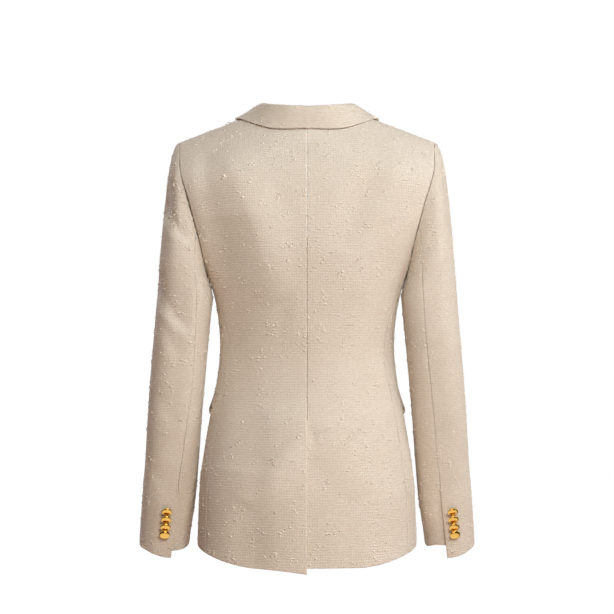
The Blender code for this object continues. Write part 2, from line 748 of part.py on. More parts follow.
def folded(along, down):
    """The collar by its place along the neck and its way down: up the stand, over, and down the fall."""
    seam = neck_seam(along)
    fold = points(*(smooth(COLLAR, f"fold_{axis}", along) for axis in "xyz"))
    edge = collar_edge(along)
    away = unit((edge - fold) * np.array((1, 1, 0)))
    stand_height = np.linalg.norm(fold - seam, axis=-1, keepdims=True)
    fold_reach = np.minimum(FOLD_REACH, 2 * stand_height)
    stand_at = np.clip(down / STAND_SHARE, 0, 1)
    stand = hermite(seam, fold, fold - seam, away * fold_reach, stand_at)
    reach = FOLD_REACH * mix(1.2, 0.4, ease((along - 0.6) / 0.4))[..., None]
    fall_at = fall_share(down)
    fall = hermite(fold, edge, away * reach, (edge - fold) * 1.1, fall_at)
    fall = clear_of_body(fall, COLLAR_NEAR * ease(fall_at * 5))
    return np.where((down < STAND_SHARE)[..., None], stand, fall)


def fall_share(down):
    return np.clip((down - STAND_SHARE) / (1 - STAND_SHARE), 0, 1)


def collar_face(u, v):
    """The collar from the right notch round the neck to the left one: from its outer edge up the
    fall to the fold, and inside down the stand to the neck seam. Its two ends are drawn on to the
    gorge seams."""
    along, down = np.abs(2 * u - 1), 1 - v
    end = np.ones_like(along)
    miss = gorge_line(GORGE_END * fall_share(down)) - folded(end, np.maximum(down, STAND_SHARE))
    drawn = ease((along - COLLAR_CORNER) / (1 - COLLAR_CORNER)) * np.minimum(down / STAND_SHARE, 1)
    half = folded(along, down) + miss * drawn[..., None]
    return half * points(np.where(u < 0.5, -1, 1), 1, 1)


# Sleeves


def sleeve_ring(turn, z):
    """A level section of the hanging sleeve."""
    outer, inner = smooth(SLEEVE, "outer_x", z), smooth(SLEEVE, "inner_x", z)
    x = (outer + inner) / 2 + (outer - inner) / 2 * np.cos(np.radians(turn))
    bulge = (1 - np.abs(np.cos(np.radians(turn))) ** SLEEVE_SQUARE) ** (1 / SLEEVE_SQUARE)
    away = smooth(SLEEVE, "half_depth", z) * bulge * np.sign(np.sin(np.radians(turn)))
    return points(x, smooth(SLEEVE, "middle_y", z) + away, z)


def sleeve(turn, z):
    """The sleeve by its turn (0 outside, 90 behind) and its height; above SLEEVE_TOP_Z the height
    counts how far the line has come towards the armhole, which it reaches at TIP_Z."""
    turn = np.asarray(turn)
    below = np.minimum(z, SLEEVE_TOP_Z)
    ring = sleeve_ring(turn, below)
    low = fade(below, CUFF_Z, -0.45)
    drop = CUFF_TILT * (ring[..., 1] - smooth(SLEEVE, "middle_y", below)) * low
    ring = ring - points(0 * drop, 0 * drop, drop)

    share = np.clip((z - SLEEVE_TOP_Z) / (TIP_Z - SLEEVE_TOP_Z), 0, 1)
    top = sleeve_ring(turn, SLEEVE_TOP_Z + 0 * z)
    hole = armhole_point(turn)
    rising = unit(top - sleeve_ring(turn, SLEEVE_TOP_Z - 0.02 + 0 * z))
    c, s = np.cos(np.radians(turn)), np.sin(np.radians(turn))
    leaving = unit(points(0.35 + 0.53 * c, 0.22 * s, -0.72 + 0.27 * c))
    under_arm = ((1 - c) / 2)[..., None]
    hole = hole + mix(leaving, np.array((1.0, 0, 0)), under_arm) * SEAM * 2
    span = np.linalg.norm(hole - top, axis=-1, keepdims=True)
    head = 3 * (0.018 + 0.010 * s**2 - 0.008 * (1 - c) / 2)[..., None]
    leave = leaving * np.minimum(head, span)
    rise = rising * span * mix(1.0, 1.7, 1 - under_arm)
    line = hermite(top, hole, rise, -leave, share)
    return np.where((z <= SLEEVE_TOP_Z)[..., None], ring, line)


def hind_turn(side, z):
    return smooth(HIND_SEAM, SIDE_NAME[side], z)


def vent_near(z):
    return fade(z, CUFF_Z + CUFF_VENT - 0.006, CUFF_Z + CUFF_VENT)


def sleeve_surface(side, top_sleeve):
    """The top sleeve runs from the hind seam over the outside to the fore seam, and the under sleeve
    on from there; in the cuff's vent the top sleeve laps over the under one."""
    gap = seam_turn(0.045)
    lap_turn = math.degrees(CUFF_LAP / 0.041)

    def layout(u, v):
        z = mix(CUFF_Z, TIP_Z, v)
        hind = hind_turn(side, z)
        if top_sleeve:
            return mix(hind - gap, FORE_SEAM + gap, u), z
        hind = hind + gap - lap_turn * vent_near(z)
        return mix(FORE_SEAM + 360 - gap, hind, u), z

    def face(u, v):
        turn, z = layout(u, v)
        place = sleeve(turn, z)
        from_seam = np.abs(turn - hind_turn(side, z))
        at_vent = fade(z, CUFF_Z + CUFF_VENT - 0.01, CUFF_Z + CUFF_VENT + 0.02)
        if top_sleeve:
            move = CUFF_SPREAD * fade(from_seam, 32, 60) * at_vent
            drop = CUFF_CORNER_DROP * fade(from_seam, 0, CUFF_CORNER_TURN)
        else:
            move = -CUFF_SPREAD * fade(turn, hind_turn(side, z), hind_turn(side, z) + 25) * at_vent
            drop = -UNDER_CUFF_RISE[side] * fade(from_seam, 20, 70)
        drop = drop * fade(z, CUFF_Z, CUFF_Z + 0.05)
        away = points(np.cos(np.radians(turn)), np.sin(np.radians(turn)), 0 * z)
        return place + away * move[..., None] - points(0 * z, 0 * z, drop)

    return thick(face)


# Pocket flaps


def flap_surface(side):
    """A flap on the front and side piece, with rounded lower corners, standing out a little."""

    def surface(u, v, sunk=0.0):
        corner = np.clip((np.abs(u - 0.5) - (0.5 - FLAP_ROUND)) / FLAP_ROUND, 0, 1)
        rounding = 0.22 * (1 - np.sqrt(1 - 0.999 * corner**2))
        z = FLAP_TOP_Z - FLAP_HEIGHT * (1 - v) * (1 - rounding)
        front_angle = angle_at(FLAP_FRONT_X, z, True)
        angle = mix(FLAP_BACK_ANGLE, front_angle, u)
        x = body(angle, z)[..., 0]
        lift = lap_lift(side, x, z) + FLAP_LAYER + FLAP_STAND * (1 - v) ** 1.5
        return lifted(angle, z, lift - sunk)

    return surface


# Buttons


def button(name, radius, place, facing, colour, collection):
    """A domed button on a stem: its profile turned round its axis, then set facing outwards."""
    shape = bmesh.new()
    line = [shape.verts.new((r * radius, 0, h * radius)) for r, h in BUTTON_PROFILE]
    edges = [shape.edges.new(ends) for ends in zip(line, line[1:])]
    bmesh.ops.spin(
        shape,
        geom=line + edges,
        cent=(0, 0, 0),
        axis=(0, 0, 1),
        angle=math.tau,
        steps=BUTTON_STEPS,
        use_merge=True,
    )
    bmesh.ops.remove_doubles(shape, verts=shape.verts, dist=1e-5)
    bmesh.ops.recalc_face_normals(shape, faces=shape.faces)
    turn = Vector(facing).to_track_quat("Z", "Y").to_matrix().to_4x4()
    shape.transform(Matrix.Translation(Vector(place)) @ turn)
    return finish(shape, name, colour, collection)


def cuff_buttons(side, colour, collection):
    """Four buttons up each cuff, close together, their faces tipped down as they hang."""
    turn = math.radians(CUFF_BUTTON_TURN[side])
    level = np.array((math.cos(turn), math.sin(turn), 0))
    stem = STEM_LENGTH * CUFF_BUTTON_RADIUS + CUFF_STEM_GAP
    for number, tip in enumerate(np.radians(CUFF_BUTTON_TIPS)):
        z = CUFF_BUTTON_FIRST_Z - number * CUFF_BUTTON_STEP
        on_cloth = sleeve(np.array(CUFF_BUTTON_TURN[side]), np.array(z))
        facing = level * math.cos(tip) + np.array((0, 0, -math.sin(tip)))
        place = on_cloth + level * CUFF_BUTTON_STAND + facing * stem
        place = place * np.array((side, 1, 1))
        facing = facing * np.array((side, 1, 1))
        name = f"cuff_button_{SIDE_NAME[side]}_{number + 1}"
        button(name, CUFF_BUTTON_RADIUS, place, facing, colour, collection)


def front_buttons(colour, collection):
    """Three pairs of buttons on the right front, the top pair set wider."""
    for row, (x, z) in enumerate(FRONT_BUTTON_PLACES):
        for side in (LEFT, RIGHT):
            angle = angle_at(x, z, True)
            lift = lap_lift(RIGHT, -side * np.array(x), np.array(z))
            out = body_out(angle, np.array(z)) * np.array((side, 1, 1))
            on_cloth = lifted(angle, np.array(z), lift) * np.array((side, 1, 1))
            place = on_cloth + out * (STEM_LENGTH * FRONT_BUTTON_RADIUS + FRONT_STEM_GAP)
            name = f"front_button_{SIDE_NAME[side]}_{row + 1}"
            button(name, FRONT_BUTTON_RADIUS, place, out, colour, collection)


ROUND_STEPS = (0, 22, 18, 16, 14, 12, 11, 10, 9, 9, 10, 11, 12, 14, 16, 18, 17, 18)  # round the top sleeve


def build():
    for old in list(bpy.data.objects):
        bpy.data.objects.remove(old)
    coat = bpy.data.collections.new("blazer")
    bpy.context.scene.collection.children.link(coat)
    tweed = material("ivory_tweed", (0.76, 0.69, 0.60), 0.92)
    under = material("ivory_tweed_inside", (0.70, 0.63, 0.54), 0.94)
    gold = material("polished_gold", (0.83, 0.62, 0.28), 0.18, metallic=1.0)

    body_rows = rows_to_shoulder(28)
    hem_to_nape = NAPE_Z - HEM_SIDE_Z + HEM_DROP
    vent_top = (VENT_TOP_Z - HEM_SIDE_Z + HEM_DROP) / hem_to_nape
    vent_rows = vent_top - np.array((0, VENT_SLANT / hem_to_nape))
    apart = np.abs(body_rows[:, None] - vent_rows).min(axis=1)
    back_rows = np.sort(np.append(body_rows[apart > 0.018], vent_rows))
    round_columns = np.cumsum(ROUND_STEPS) / sum(ROUND_STEPS)
    head_rows = even(10) ** 0.8
    head_share = (SLEEVE_TOP_Z - CUFF_Z) / (TIP_Z - CUFF_Z)
    vent_share = CUFF_VENT / (TIP_Z - CUFF_Z)
    cuff_rows = vent_share * np.array((0, 0.5, 0.93, 1.02))
    tube_rows = np.linspace(vent_share * 1.35, head_share, 10)
    sleeve_rows = np.concatenate([cuff_rows, tube_rows, mix(head_share, 1, head_rows[1:])])
    flap_columns = np.concatenate([[0, 0.03, 0.07, 0.12], np.linspace(0.2, 0.8, 6), [0.88, 0.93, 0.97, 1]])
    for side in (LEFT, RIGHT):
        pieces = (
            ("back", back_surface(side), even(14), back_rows, tweed),
            ("side", side_surface(side), even(6), even(18), tweed),
            ("front", front_surface(side), even(13), body_rows, tweed),
            ("lapel", lapel_surface(side), even(9), even(15), tweed),
            ("sleeve_top", sleeve_surface(side, True), round_columns, sleeve_rows, tweed),
            ("sleeve_under", sleeve_surface(side, False), even(8), sleeve_rows, under),
            ("pocket_flap", flap_surface(side), flap_columns, even(5), tweed),
        )
        for name, surface, columns, rows, colour in pieces:
            cloth(f"{name}_{SIDE_NAME[side]}", side, surface, columns, rows, colour, coat)
        cuff_buttons(side, gold, coat)
    across = np.concatenate([np.linspace(0, 0.45, 5), [0.53, 0.58, 0.62, 0.67], np.linspace(0.75, 1, 4)])
    cloth("collar", LEFT, thick(collar_face), even(35), across, tweed, coat)
    front_buttons(gold, coat)


build()
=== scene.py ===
# %% [markdown]
# # A double breasted blazer in ivory tweed
#
# This notebook dresses a blazer that already exists as plain solids. The solids, called the frame,
# hold the true sizes and places. Here each piece of cloth is made again as a thin shell on its
# solid's form, finely enough to carry creases, pressed seams and a woven surface, and the buttons are
# turned from polished metal.
#
# Everything is in metres. The back of the coat faces +Y, the wearer's left is +X, and +Z is up.

# %% The frame
import math

import bpy
import numpy as np
from mathutils import Matrix, Vector


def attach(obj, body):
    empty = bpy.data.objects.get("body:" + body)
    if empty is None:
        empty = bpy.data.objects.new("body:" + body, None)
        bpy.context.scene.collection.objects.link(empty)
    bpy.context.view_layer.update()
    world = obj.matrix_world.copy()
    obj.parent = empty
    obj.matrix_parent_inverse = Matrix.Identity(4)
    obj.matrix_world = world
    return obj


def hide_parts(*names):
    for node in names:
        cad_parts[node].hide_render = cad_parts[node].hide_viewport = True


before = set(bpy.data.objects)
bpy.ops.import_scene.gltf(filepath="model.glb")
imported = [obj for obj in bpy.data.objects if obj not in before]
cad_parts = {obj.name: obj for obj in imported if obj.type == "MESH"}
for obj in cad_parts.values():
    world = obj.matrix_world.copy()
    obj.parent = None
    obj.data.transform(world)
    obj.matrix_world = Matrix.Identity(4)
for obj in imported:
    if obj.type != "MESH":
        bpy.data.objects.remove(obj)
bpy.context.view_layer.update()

# %% [markdown]
# ## Sizes that the cutter works from
#
# A tailor starts from a short list of measures: shoulder width, back length, where the vent opens,
# how far the fronts lap. The same measures drove the solids, so the shells repeat them, and each
# shell lands on its solid. One place differs: the sleeve's head is set closer to the armhole than on
# its solid, by under half a millimetre, so that less shadow shows in that seam.

# %% Measures
LEFT, RIGHT = 1, -1
SIDE_NAME = {LEFT: "left", RIGHT: "right"}

# Cloth
WALL = 0.0018  # thickness of the tweed
SEAM = 0.00035  # open width left at a seam, so that the pieces stay apart
LAYER = WALL + 0.0012  # how far a piece that lies on another is moved out

# Shoulders and neck
SHOULDER_HALF = 0.192  # centre to the sleeve seam, along X
RIDGE_AT_CENTRE = 0.0569  # height of the shoulder line carried on to the centre
RIDGE_ROUND = 0.006  # how softly it turns over there
RIDGE_SLOPE = 0.384  # drop of the shoulder line for each metre outwards
ARCH = 0.080  # height over which the back and the chest turn in to the shoulder line
NECK_HALF = 0.077  # centre to the neck end of the shoulder seam
NAPE_Z = 0.014  # neck seam at the centre of the back
NECKLINE_POWER = 2.2  # how squarely the back neckline turns up to the shoulder

# Armhole
ARMPIT_Z = -0.218
TIP_Z = RIDGE_AT_CENTRE - RIDGE_SLOPE * (math.hypot(SHOULDER_HALF, RIDGE_ROUND) - RIDGE_ROUND)
ARMHOLE_BACK = 18.0  # degrees from the side line to the deepest point of the armhole, behind
ARMHOLE_FRONT = 17.5  # the same in front
ARMHOLE_ROUND = (2.0, 1.1)  # how softly the armhole turns at the shoulder and under the arm

# Lengths
HEM_SIDE_Z = -0.616
HEM_DROP = 0.0258  # how much lower the hem hangs at the centre
HEM_LEVEL_ANGLE = 34.0  # degrees each side of the centre over which the hem is level
VENT_TOP_Z = -0.427
VENT_LAP = 0.035  # width of the right back under the left one
VENT_SLANT = 0.028  # height over which the lap's top edge slants out to that width
VENT_LIFT = 0.0030
VENT_FADE = (0.042, 0.080)  # distances from the centre between which the lift ends
VENT_SWING = 0.008  # how much further out its lower corner stands
VENT_SWING_WIDTH = 0.085
VENT_CORNER_DROP = 0.008

# Front
FRONT_LAP = 0.068  # how far each front passes the centre
BREAK_Z = -0.320  # where the lapel starts to turn back
LAP_LIFT = 2 * LAYER  # the right front lies on the left one and on its lapel
LAP_FADE = (0.080, 0.130)  # the lift ends between these distances from the centre
LAP_RISE_Z = (-0.145, -0.060)  # and between these heights
GORGE_Z = -0.008  # where the neck seam meets the turned edge
NOTCH = (0.098, -0.052)
PEAK = (0.1506, -0.0275)
ROLL_SWELL = 0.0030  # how far the lapel swells out beside the roll line
BELLY = (0.072, -0.205)  # the lapel's outer edge swells towards this point

# Sleeves
HEAD_GAP = 0.7  # from the armhole to the sleeve's head, in seams; the solid keeps 2
SLEEVE_SQUARE = 2.7  # squareness of its level sections, as for the body form below
SLEEVE_TOP_Z = -0.250  # above it the sleeve turns in to the armhole
CUFF_Z = -0.616
CUFF_TILT = 0.27  # drop of the cuff for each metre backwards
CUFF_VENT = 0.075
CUFF_LAP = 0.020
CUFF_CORNER_DROP = 0.010
CUFF_CORNER_TURN = 75.0  # degrees round the sleeve over which the top sleeve's corner drops
UNDER_CUFF_RISE = {LEFT: 0.0, RIGHT: 0.0085}  # how much the under sleeve's corner is drawn up
CUFF_SPREAD = 0.0020  # how far the two laps of the vent part from the seam line, each way
FORE_SEAM = -125.0  # degrees round the sleeve from its outer side, backwards positive

# Pocket flaps
FLAP_TOP_Z = -0.374
FLAP_HEIGHT = 0.050
FLAP_BACK_ANGLE = 100.0
FLAP_FRONT_X = 0.078
FLAP_LAYER = WALL + 0.0006  # how far out its top edge lies
FLAP_STAND = 0.0050  # how much further out its lower edge stands
FLAP_ROUND = 0.12  # share of the flap's length in which its corners are rounded

# Buttons
CUFF_BUTTON_RADIUS = 0.0078
CUFF_BUTTON_STEP = 0.0110
CUFF_BUTTON_FIRST_Z = -0.5535
FRONT_BUTTON_RADIUS = 0.0105
FRONT_BUTTON_PLACES = ((0.085, -0.255), (0.052, -0.345), (0.052, -0.430))

CUFF_BUTTON_TURN = {LEFT: 90.0, RIGHT: 80.0}  # degrees round each sleeve
CUFF_BUTTON_TIPS = (42, 41, 39, 33)  # degrees that each button hangs over, from the cuff up
CUFF_BUTTON_STAND = 0.0028  # the stem's end stands this far out of the cloth, level
CUFF_STEM_GAP = 0.0026  # and this far along the stem, because it leans
FRONT_STEM_GAP = 0.0012

# %% [markdown]
# Sections through the coat are kept as short tables: a row for each height, a column for each
# measure. A smooth curve through a column gives the measure at any height.

# %% Tables of sections
def table(names, *rows):
    """A short table as one array for each named column; its rows rise in the first column."""
    return dict(zip(names.split(), np.array(rows, dtype=float).T))


# The hollow body form, from the hem up. A squareness of 2 is an ellipse, more is squarer.
BODY = table(
    "z       half_width back_depth front_depth back_square front_square",
    (-0.660, 0.1650, 0.120, 0.126, 2.4, 2.3),
    (-0.580, 0.1630, 0.119, 0.124, 2.4, 2.3),
    (-0.520, 0.1600, 0.116, 0.122, 2.4, 2.3),
    (-0.460, 0.1515, 0.107, 0.118, 2.3, 2.3),
    (-0.415, 0.1435, 0.097, 0.114, 2.3, 2.2),
    (-0.370, 0.1350, 0.087, 0.110, 2.3, 2.2),
    (-0.325, 0.1305, 0.081, 0.110, 2.3, 2.1),
    (-0.280, 0.1330, 0.084, 0.120, 2.4, 2.1),
    (-0.250, 0.1380, 0.088, 0.128, 2.5, 2.0),
    (-0.222, 0.1460, 0.091, 0.131, 2.6, 2.0),
    (-0.165, 0.1690, 0.095, 0.122, 2.6, 2.0),
    (-0.112, 0.1960, 0.092, 0.108, 2.6, 2.0),
    (-0.055, 0.2210, 0.079, 0.086, 2.6, 2.0),
    (-0.017, 0.2150, 0.063, 0.064, 2.6, 2.0),
    (0.014, 0.2120, 0.050, 0.050, 2.6, 2.0),
    (0.060, 0.2100, 0.042, 0.042, 2.6, 2.0),
)
# Seams of the side pieces, in degrees from the centre back.
SIDE_SEAMS = table(
    "z       back front",
    (-0.660, 68.0, 107.0),
    (-0.500, 68.0, 106.0),
    (-0.400, 69.5, 105.0),
    (-0.327, 68.5, 104.0),
    (-0.290, 71.0, 103.8),
    (-0.250, 75.5, 103.5),
    (-0.190, 78.9, 101.7),
)
SIDE_TOP_Z = -0.190  # where the side piece's two seams run into the armhole

# The largest folds of the back. Each has its depth, less than nothing for a ridge, and the points
# that its line runs through from the top down: X, Z and how far the fold reaches to the right and
# to the left of it, seen from behind; all in mm.
FOLDS = (
    (-7.0, (127, -25, 30, 26), (109, -63, 38, 34), (93, -100, 42, 38), (78, -138, 44, 40),
     (69, -175, 42, 42), (58, -212, 38, 42), (46, -255, 30, 40)),
    (4.0, (152, -24, 24, 12), (148, -100, 46, 20), (138, -140, 48, 22), (130, -178, 50, 24),
     (124, -215, 50, 30)),
    (13.0, (128, -130, 50, 30), (122, -190, 62, 40), (114, -250, 78, 60), (104, -320, 92, 70),
     (96, -385, 96, 80), (94, -440, 80, 80), (100, -500, 70, 80)),
    (-3.5, (6, -424, 24, 20), (30, -470, 34, 30), (62, -512, 40, 34), (92, -552, 34, 30)),
    (-3.5, (-6, -430, 20, 16), (-32, -457, 24, 30), (-52, -481, 26, 34), (-74, -505, 26, 36),
     (-100, -528, 26, 30)),
    (4.0, (-118, -22, 24, 24), (-98, -63, 28, 30), (-72, -123, 28, 34), (-50, -178, 26, 30)),
)
FOLD_BLUNT = 0.16  # how round a fold's ridges and bottom are
FOLD_END = 0.6  # how softly it runs out at its ends, less is shorter
SEAM_CALM = 8.0  # beside the armhole they end over one part in this many of the back's width
FOLDS_PASS_Z = (-0.225, -0.185)  # below these heights they pass on to the side piece

SLEEVE = table(
    "z       outer_x inner_x middle_y half_depth",
    (-0.660, 0.2560, 0.1820, -0.049, 0.042),
    (-0.610, 0.2535, 0.1775, -0.044, 0.043),
    (-0.550, 0.2490, 0.1685, -0.033, 0.045),
    (-0.490, 0.2435, 0.1630, -0.021, 0.048),
    (-0.430, 0.2395, 0.1584, -0.010, 0.051),
    (-0.370, 0.2350, 0.1530, -0.002, 0.054),
    (-0.310, 0.2296, 0.1475, 0.002, 0.058),
    (-0.250, 0.2248, 0.1415, 0.003, 0.061),
)
# The seam behind the elbow, in degrees round the sleeve; the two sleeves hang a little differently.
HIND_SEAM = table(
    "z       left right",
    (-0.640, 107.0, 98.0),
    (-0.560, 110.0, 100.0),
    (-0.517, 111.0, 101.0),
    (-0.466, 117.0, 104.0),
    (-0.388, 126.0, 106.0),
    (-0.310, 124.0, 108.0),
    (-0.240, 118.0, 106.0),
    (-0.150, 110.0, 104.0),
)
# Half of the collar from the centre back to the notch: the fold, and the outer edge as its distance
# from the centre and its place over the shoulder (0 behind, 90 on the shoulder line, 180 in front).
# off is how far the lower edge of the stand keeps off the neck seam.
COLLAR = table(
    "along fold_x  fold_y  fold_z edge_x edge_over off_x off_y off_z",
    (0.00, 0.0000, 0.0520, 0.0371, 0.000, 17.8, 0.0000, -0.0014, 0.0014),
    (0.16, 0.0300, 0.0490, 0.0386, 0.031, 25.0, -0.0006, -0.0014, 0.0016),
    (0.32, 0.0550, 0.0340, 0.0412, 0.063, 37.5, -0.0014, -0.0010, 0.0018),
    (0.46, 0.0675, 0.0120, 0.0436, 0.0890, 58.0, -0.0024, -0.0004, 0.0022),
    (0.58, 0.0710, -0.0080, 0.0410, 0.1060, 84.0, -0.0022, 0.0000, 0.0014),
    (0.72, 0.0695, -0.0280, 0.0270, 0.1080, 120.0, -0.0025, 0.0003, 0.0008),
    (0.86, 0.0645, -0.0450, 0.0090, 0.115, 151.5, -0.0045, 0.0008, -0.0010),
    (1.00, 0.0590, -0.0550, -0.0050, 0.098, 175.6, -0.0070, 0.0014, -0.0010),
)
COLLAR_SHOULDER = 0.52  # where along the collar the shoulder seam is
COLLAR_CORNER = 0.86
COLLAR_REST = 0.0036  # how far the fall stands off the back
COLLAR_NEAR = WALL + 0.0006  # and off the shoulder, where it lies closest
GORGE_END = 0.985  # the collar stops just short of the notch
STAND_SHARE = 0.4  # share of the rows across the collar that its stand takes
FOLD_REACH = 0.019  # how softly the stand turns over into the fall
STEM_LENGTH = 0.66  # from the rim's level to the stem's end, as a share of the button's radius

# %% Helpers for curves and blends
def smooth(rows, column, at):
    """The table's column at a place in its first column, on a smooth curve through the rows."""
    knots = next(iter(rows.values()))
    values = rows[column]
    slopes = np.gradient(values, knots)
    at = np.clip(at, knots[0], knots[-1])
    low = np.clip(np.searchsorted(knots, at) - 1, 0, len(knots) - 2)
    gap = knots[low + 1] - knots[low]
    t = (at - knots[low]) / gap
    start = values[low] * (1 + 2 * t) * (1 - t) ** 2 + slopes[low] * gap * t * (1 - t) ** 2
    end = values[low + 1] * t**2 * (3 - 2 * t) + slopes[low + 1] * gap * t**2 * (t - 1)
    return start + end


def mix(a, b, share):
    return a + (b - a) * share


def ease(share):
    """0 to 1 with a soft start and end."""
    share = np.clip(share, 0, 1)
    return share * share * (3 - 2 * share)


def fade(at, full, none):
    """1 at full, 0 at none and beyond."""
    return ease((none - at) / (none - full))


def points(x, y, z):
    return np.stack(np.broadcast_arrays(x, y, z), axis=-1)

# %% [markdown]
# ## The hollow form
#
# A filled-out coat could be sculpted, or draped over a figure by simulation. It is cut from a few
# flat panels, though, so it is built here as a tailor's form: one function gives the point of the
# form at an angle round the body and a height, and every panel is a patch on it. Neighbouring
# panels then meet at their seams by themselves.

# %% The form
def ridge(x):
    """Height of the shoulder line."""
    return RIDGE_AT_CENTRE - RIDGE_SLOPE * (np.hypot(x, RIDGE_ROUND) - RIDGE_ROUND)


def arch(x, z):
    """Share of the full depth that is left where the form turns in to the shoulder line."""
    rise = np.clip((z - ridge(x) + ARCH) / ARCH, 0, 1)
    return np.sqrt(1 - rise * rise)


def half_form(z, in_front):
    depth = np.where(in_front, smooth(BODY, "front_depth", z), smooth(BODY, "back_depth", z))
    square = np.where(in_front, smooth(BODY, "front_square", z), smooth(BODY, "back_square", z))
    return smooth(BODY, "half_width", z), depth, square


def body(angle, z):
    """The form at an angle from the centre back, round the wearer's left side to the front."""
    across = np.sin(np.radians(angle))
    behind = np.cos(np.radians(angle))
    half_width, depth, square = half_form(z, behind < 0)
    reach = (np.abs(across / half_width) ** square + np.abs(behind / depth) ** square) ** (-1 / square)
    x = reach * across
    return points(x, reach * behind * arch(x, z), z)


def depth_at(x, z, in_front):
    half_width, depth, square = half_form(z, in_front)
    return depth * (1 - np.minimum(np.abs(x) / half_width, 1) ** square) ** (1 / square)


def angle_at(x, z, in_front):
    """The angle at which the form has this X."""
    behind = depth_at(x, z, in_front) * np.where(in_front, -1, 1)
    return np.degrees(np.arctan2(x, behind)) % 360


def unit(vectors):
    return vectors / np.linalg.norm(vectors, axis=-1, keepdims=True)


def body_out(angle, z):
    """Unit normals of the form: its own two directions crossed, and near the shoulder line, where it
    turns over, the gradient of the shape it is a section of."""
    turn, rise = 0.05, 0.0002
    along = body(angle + turn, z) - body(angle - turn, z)
    up = body(angle, z + rise) - body(angle, z - rise)
    x, y, _ = np.moveaxis(body(angle, z), -1, 0)
    in_front, step = np.cos(np.radians(angle)) < 0, 1e-5

    def within(x, z):
        risen = np.clip((z - ridge(x) + ARCH) / ARCH, 0, 2)
        return (y / np.maximum(depth_at(x, z, in_front), 1e-4)) ** 2 + risen**2

    depth = np.maximum(depth_at(x, z, in_front), 1e-4)
    gradient = points(
        within(x + step, z) - within(x - step, z),
        4 * step * y / depth**2,
        within(x, z + step) - within(x, z - step),
    )
    return unit(np.where((z > ridge(x) - ARCH)[..., None], gradient, np.cross(up, along)))


def lifted(angle, z, lift):
    """The form moved out by lift."""
    return body(angle, z) + body_out(angle, z) * np.asarray(lift)[..., None]


def over_shoulder(x, over):
    """The same form near the shoulder line, by its place over it: 0 behind, 180 in front."""
    z = ridge(x) - ARCH * (1 - np.sin(np.radians(over)))
    return points(x, np.cos(np.radians(over)) * depth_at(x, z, over > 90), z)


def fold_depth(folds, x, z):
    """How deep in the cloth lies at X and Z: a fold falls evenly from its ridges to its bottom."""
    total, blunt = np.zeros_like(x), FOLD_BLUNT
    for depth, *stops in folds:
        stops = np.array(stops) / 1000
        runs = np.linalg.norm(np.diff(stops[:, :2], axis=0), axis=1)
        passed = np.concatenate([[0], np.cumsum(runs)]) / runs.sum()
        nearest, here = np.full_like(x, np.inf), np.zeros_like(x)
        for start, end, run, before, after in zip(stops, stops[1:], runs, passed, passed[1:]):
            step_x, step_z = (end - start)[:2]
            away_x, away_z = x - start[0], z - start[1]
            along = np.clip((away_x * step_x + away_z * step_z) / run**2, 0, 1)
            aside = np.hypot(away_x - along * step_x, away_z - along * step_z)
            right, left = (mix(start[i], end[i], along) for i in (2, 3))
            reach = np.where(step_x * away_z > step_z * away_x, left, right)
            up = 1 + blunt - np.hypot(aside / reach, blunt)
            strength = np.sin(math.pi * mix(before, after, along)) ** FOLD_END
            here = np.where(aside < nearest, strength * (up + np.hypot(up, blunt)) / 2, here)
            nearest = np.minimum(aside, nearest)
        total += depth / 1000 * here
    return total


def drawn_in(place, depth):
    """The place, moved to the front by a fold."""
    return place - points(0 * depth, depth, 0 * depth)


def hem_z(angle):
    from_centre = np.abs((np.asarray(angle) + 90) % 180 - 90)
    return HEM_SIDE_Z - HEM_DROP * fade(from_centre, HEM_LEVEL_ANGLE, 90)


def neckline_z(x):
    """Height of the neck seam behind."""
    return mix(NAPE_Z, ridge(NECK_HALF), (x / NECK_HALF) ** NECKLINE_POWER)


def armhole_angle(z, in_front):
    """Where the armhole's edge is at a height."""
    middle = (TIP_Z + ARMPIT_Z) / 2
    height = np.clip((z - middle) / (TIP_Z - middle), -1, 1)
    open_by = (1 - height**2) ** (np.where(height > 0, *ARMHOLE_ROUND) / 2)
    deepest = np.where(in_front, 90 + ARMHOLE_FRONT, 90 - ARMHOLE_BACK)
    tip = np.where(in_front, *(angle_at(SHOULDER_HALF, TIP_Z, front) for front in (True, False)))
    return mix(np.where(height > 0, tip, 90), deepest, open_by)


def armhole_point(turn):
    """The armhole's edge, by its turn from the shoulder tip: 90 behind, 180 under the arm."""
    middle = (TIP_Z + ARMPIT_Z) / 2
    z = middle + (TIP_Z - middle) * np.cos(np.radians(turn))
    return body(armhole_angle(z, np.sin(np.radians(turn)) < 0), z)


def seam_turn(radius=0.12):
    """Half of an open seam, as degrees round the body."""
    return math.degrees(SEAM / 2 / radius)

# %% Patches on the form
def patch(bottom, top, first, last):
    """A flat layout between four edges, each a function of 0 to 1 that gives a pair of numbers."""

    def layout(u, v):
        across = mix(bottom(u), top(u), v[..., None])
        up = mix(first(v), last(v), u[..., None])
        zero, one = np.zeros_like(u), np.ones_like(u)
        low = mix(bottom(zero), bottom(one), u[..., None])
        high = mix(top(zero), top(one), u[..., None])
        pair = across + up - mix(low, high, v[..., None])
        return pair[..., 0], pair[..., 1]

    return layout


def pair(a, b):
    return np.stack(np.broadcast_arrays(a, b), axis=-1)


def in_by_seam(x, z):
    """A point of an outer edge moved in by half a seam, along the shoulder line's slope."""
    return pair(x - SEAM / 2, z + RIDGE_SLOPE * SEAM / 2)


def body_patch(*edges):
    """A patch between edges given in X and Z, worked out in X and the drop below the shoulder line,
    so that no row crosses that line."""

    def dropped(edge):
        def line(t):
            x, z = np.moveaxis(edge(t), -1, 0)
            return pair(x, ridge(x) - z)

        return line

    layout = patch(*(dropped(edge) for edge in edges))

    def places(u, v):
        x, drop = layout(u, v)
        return x, ridge(x) - drop

    return places


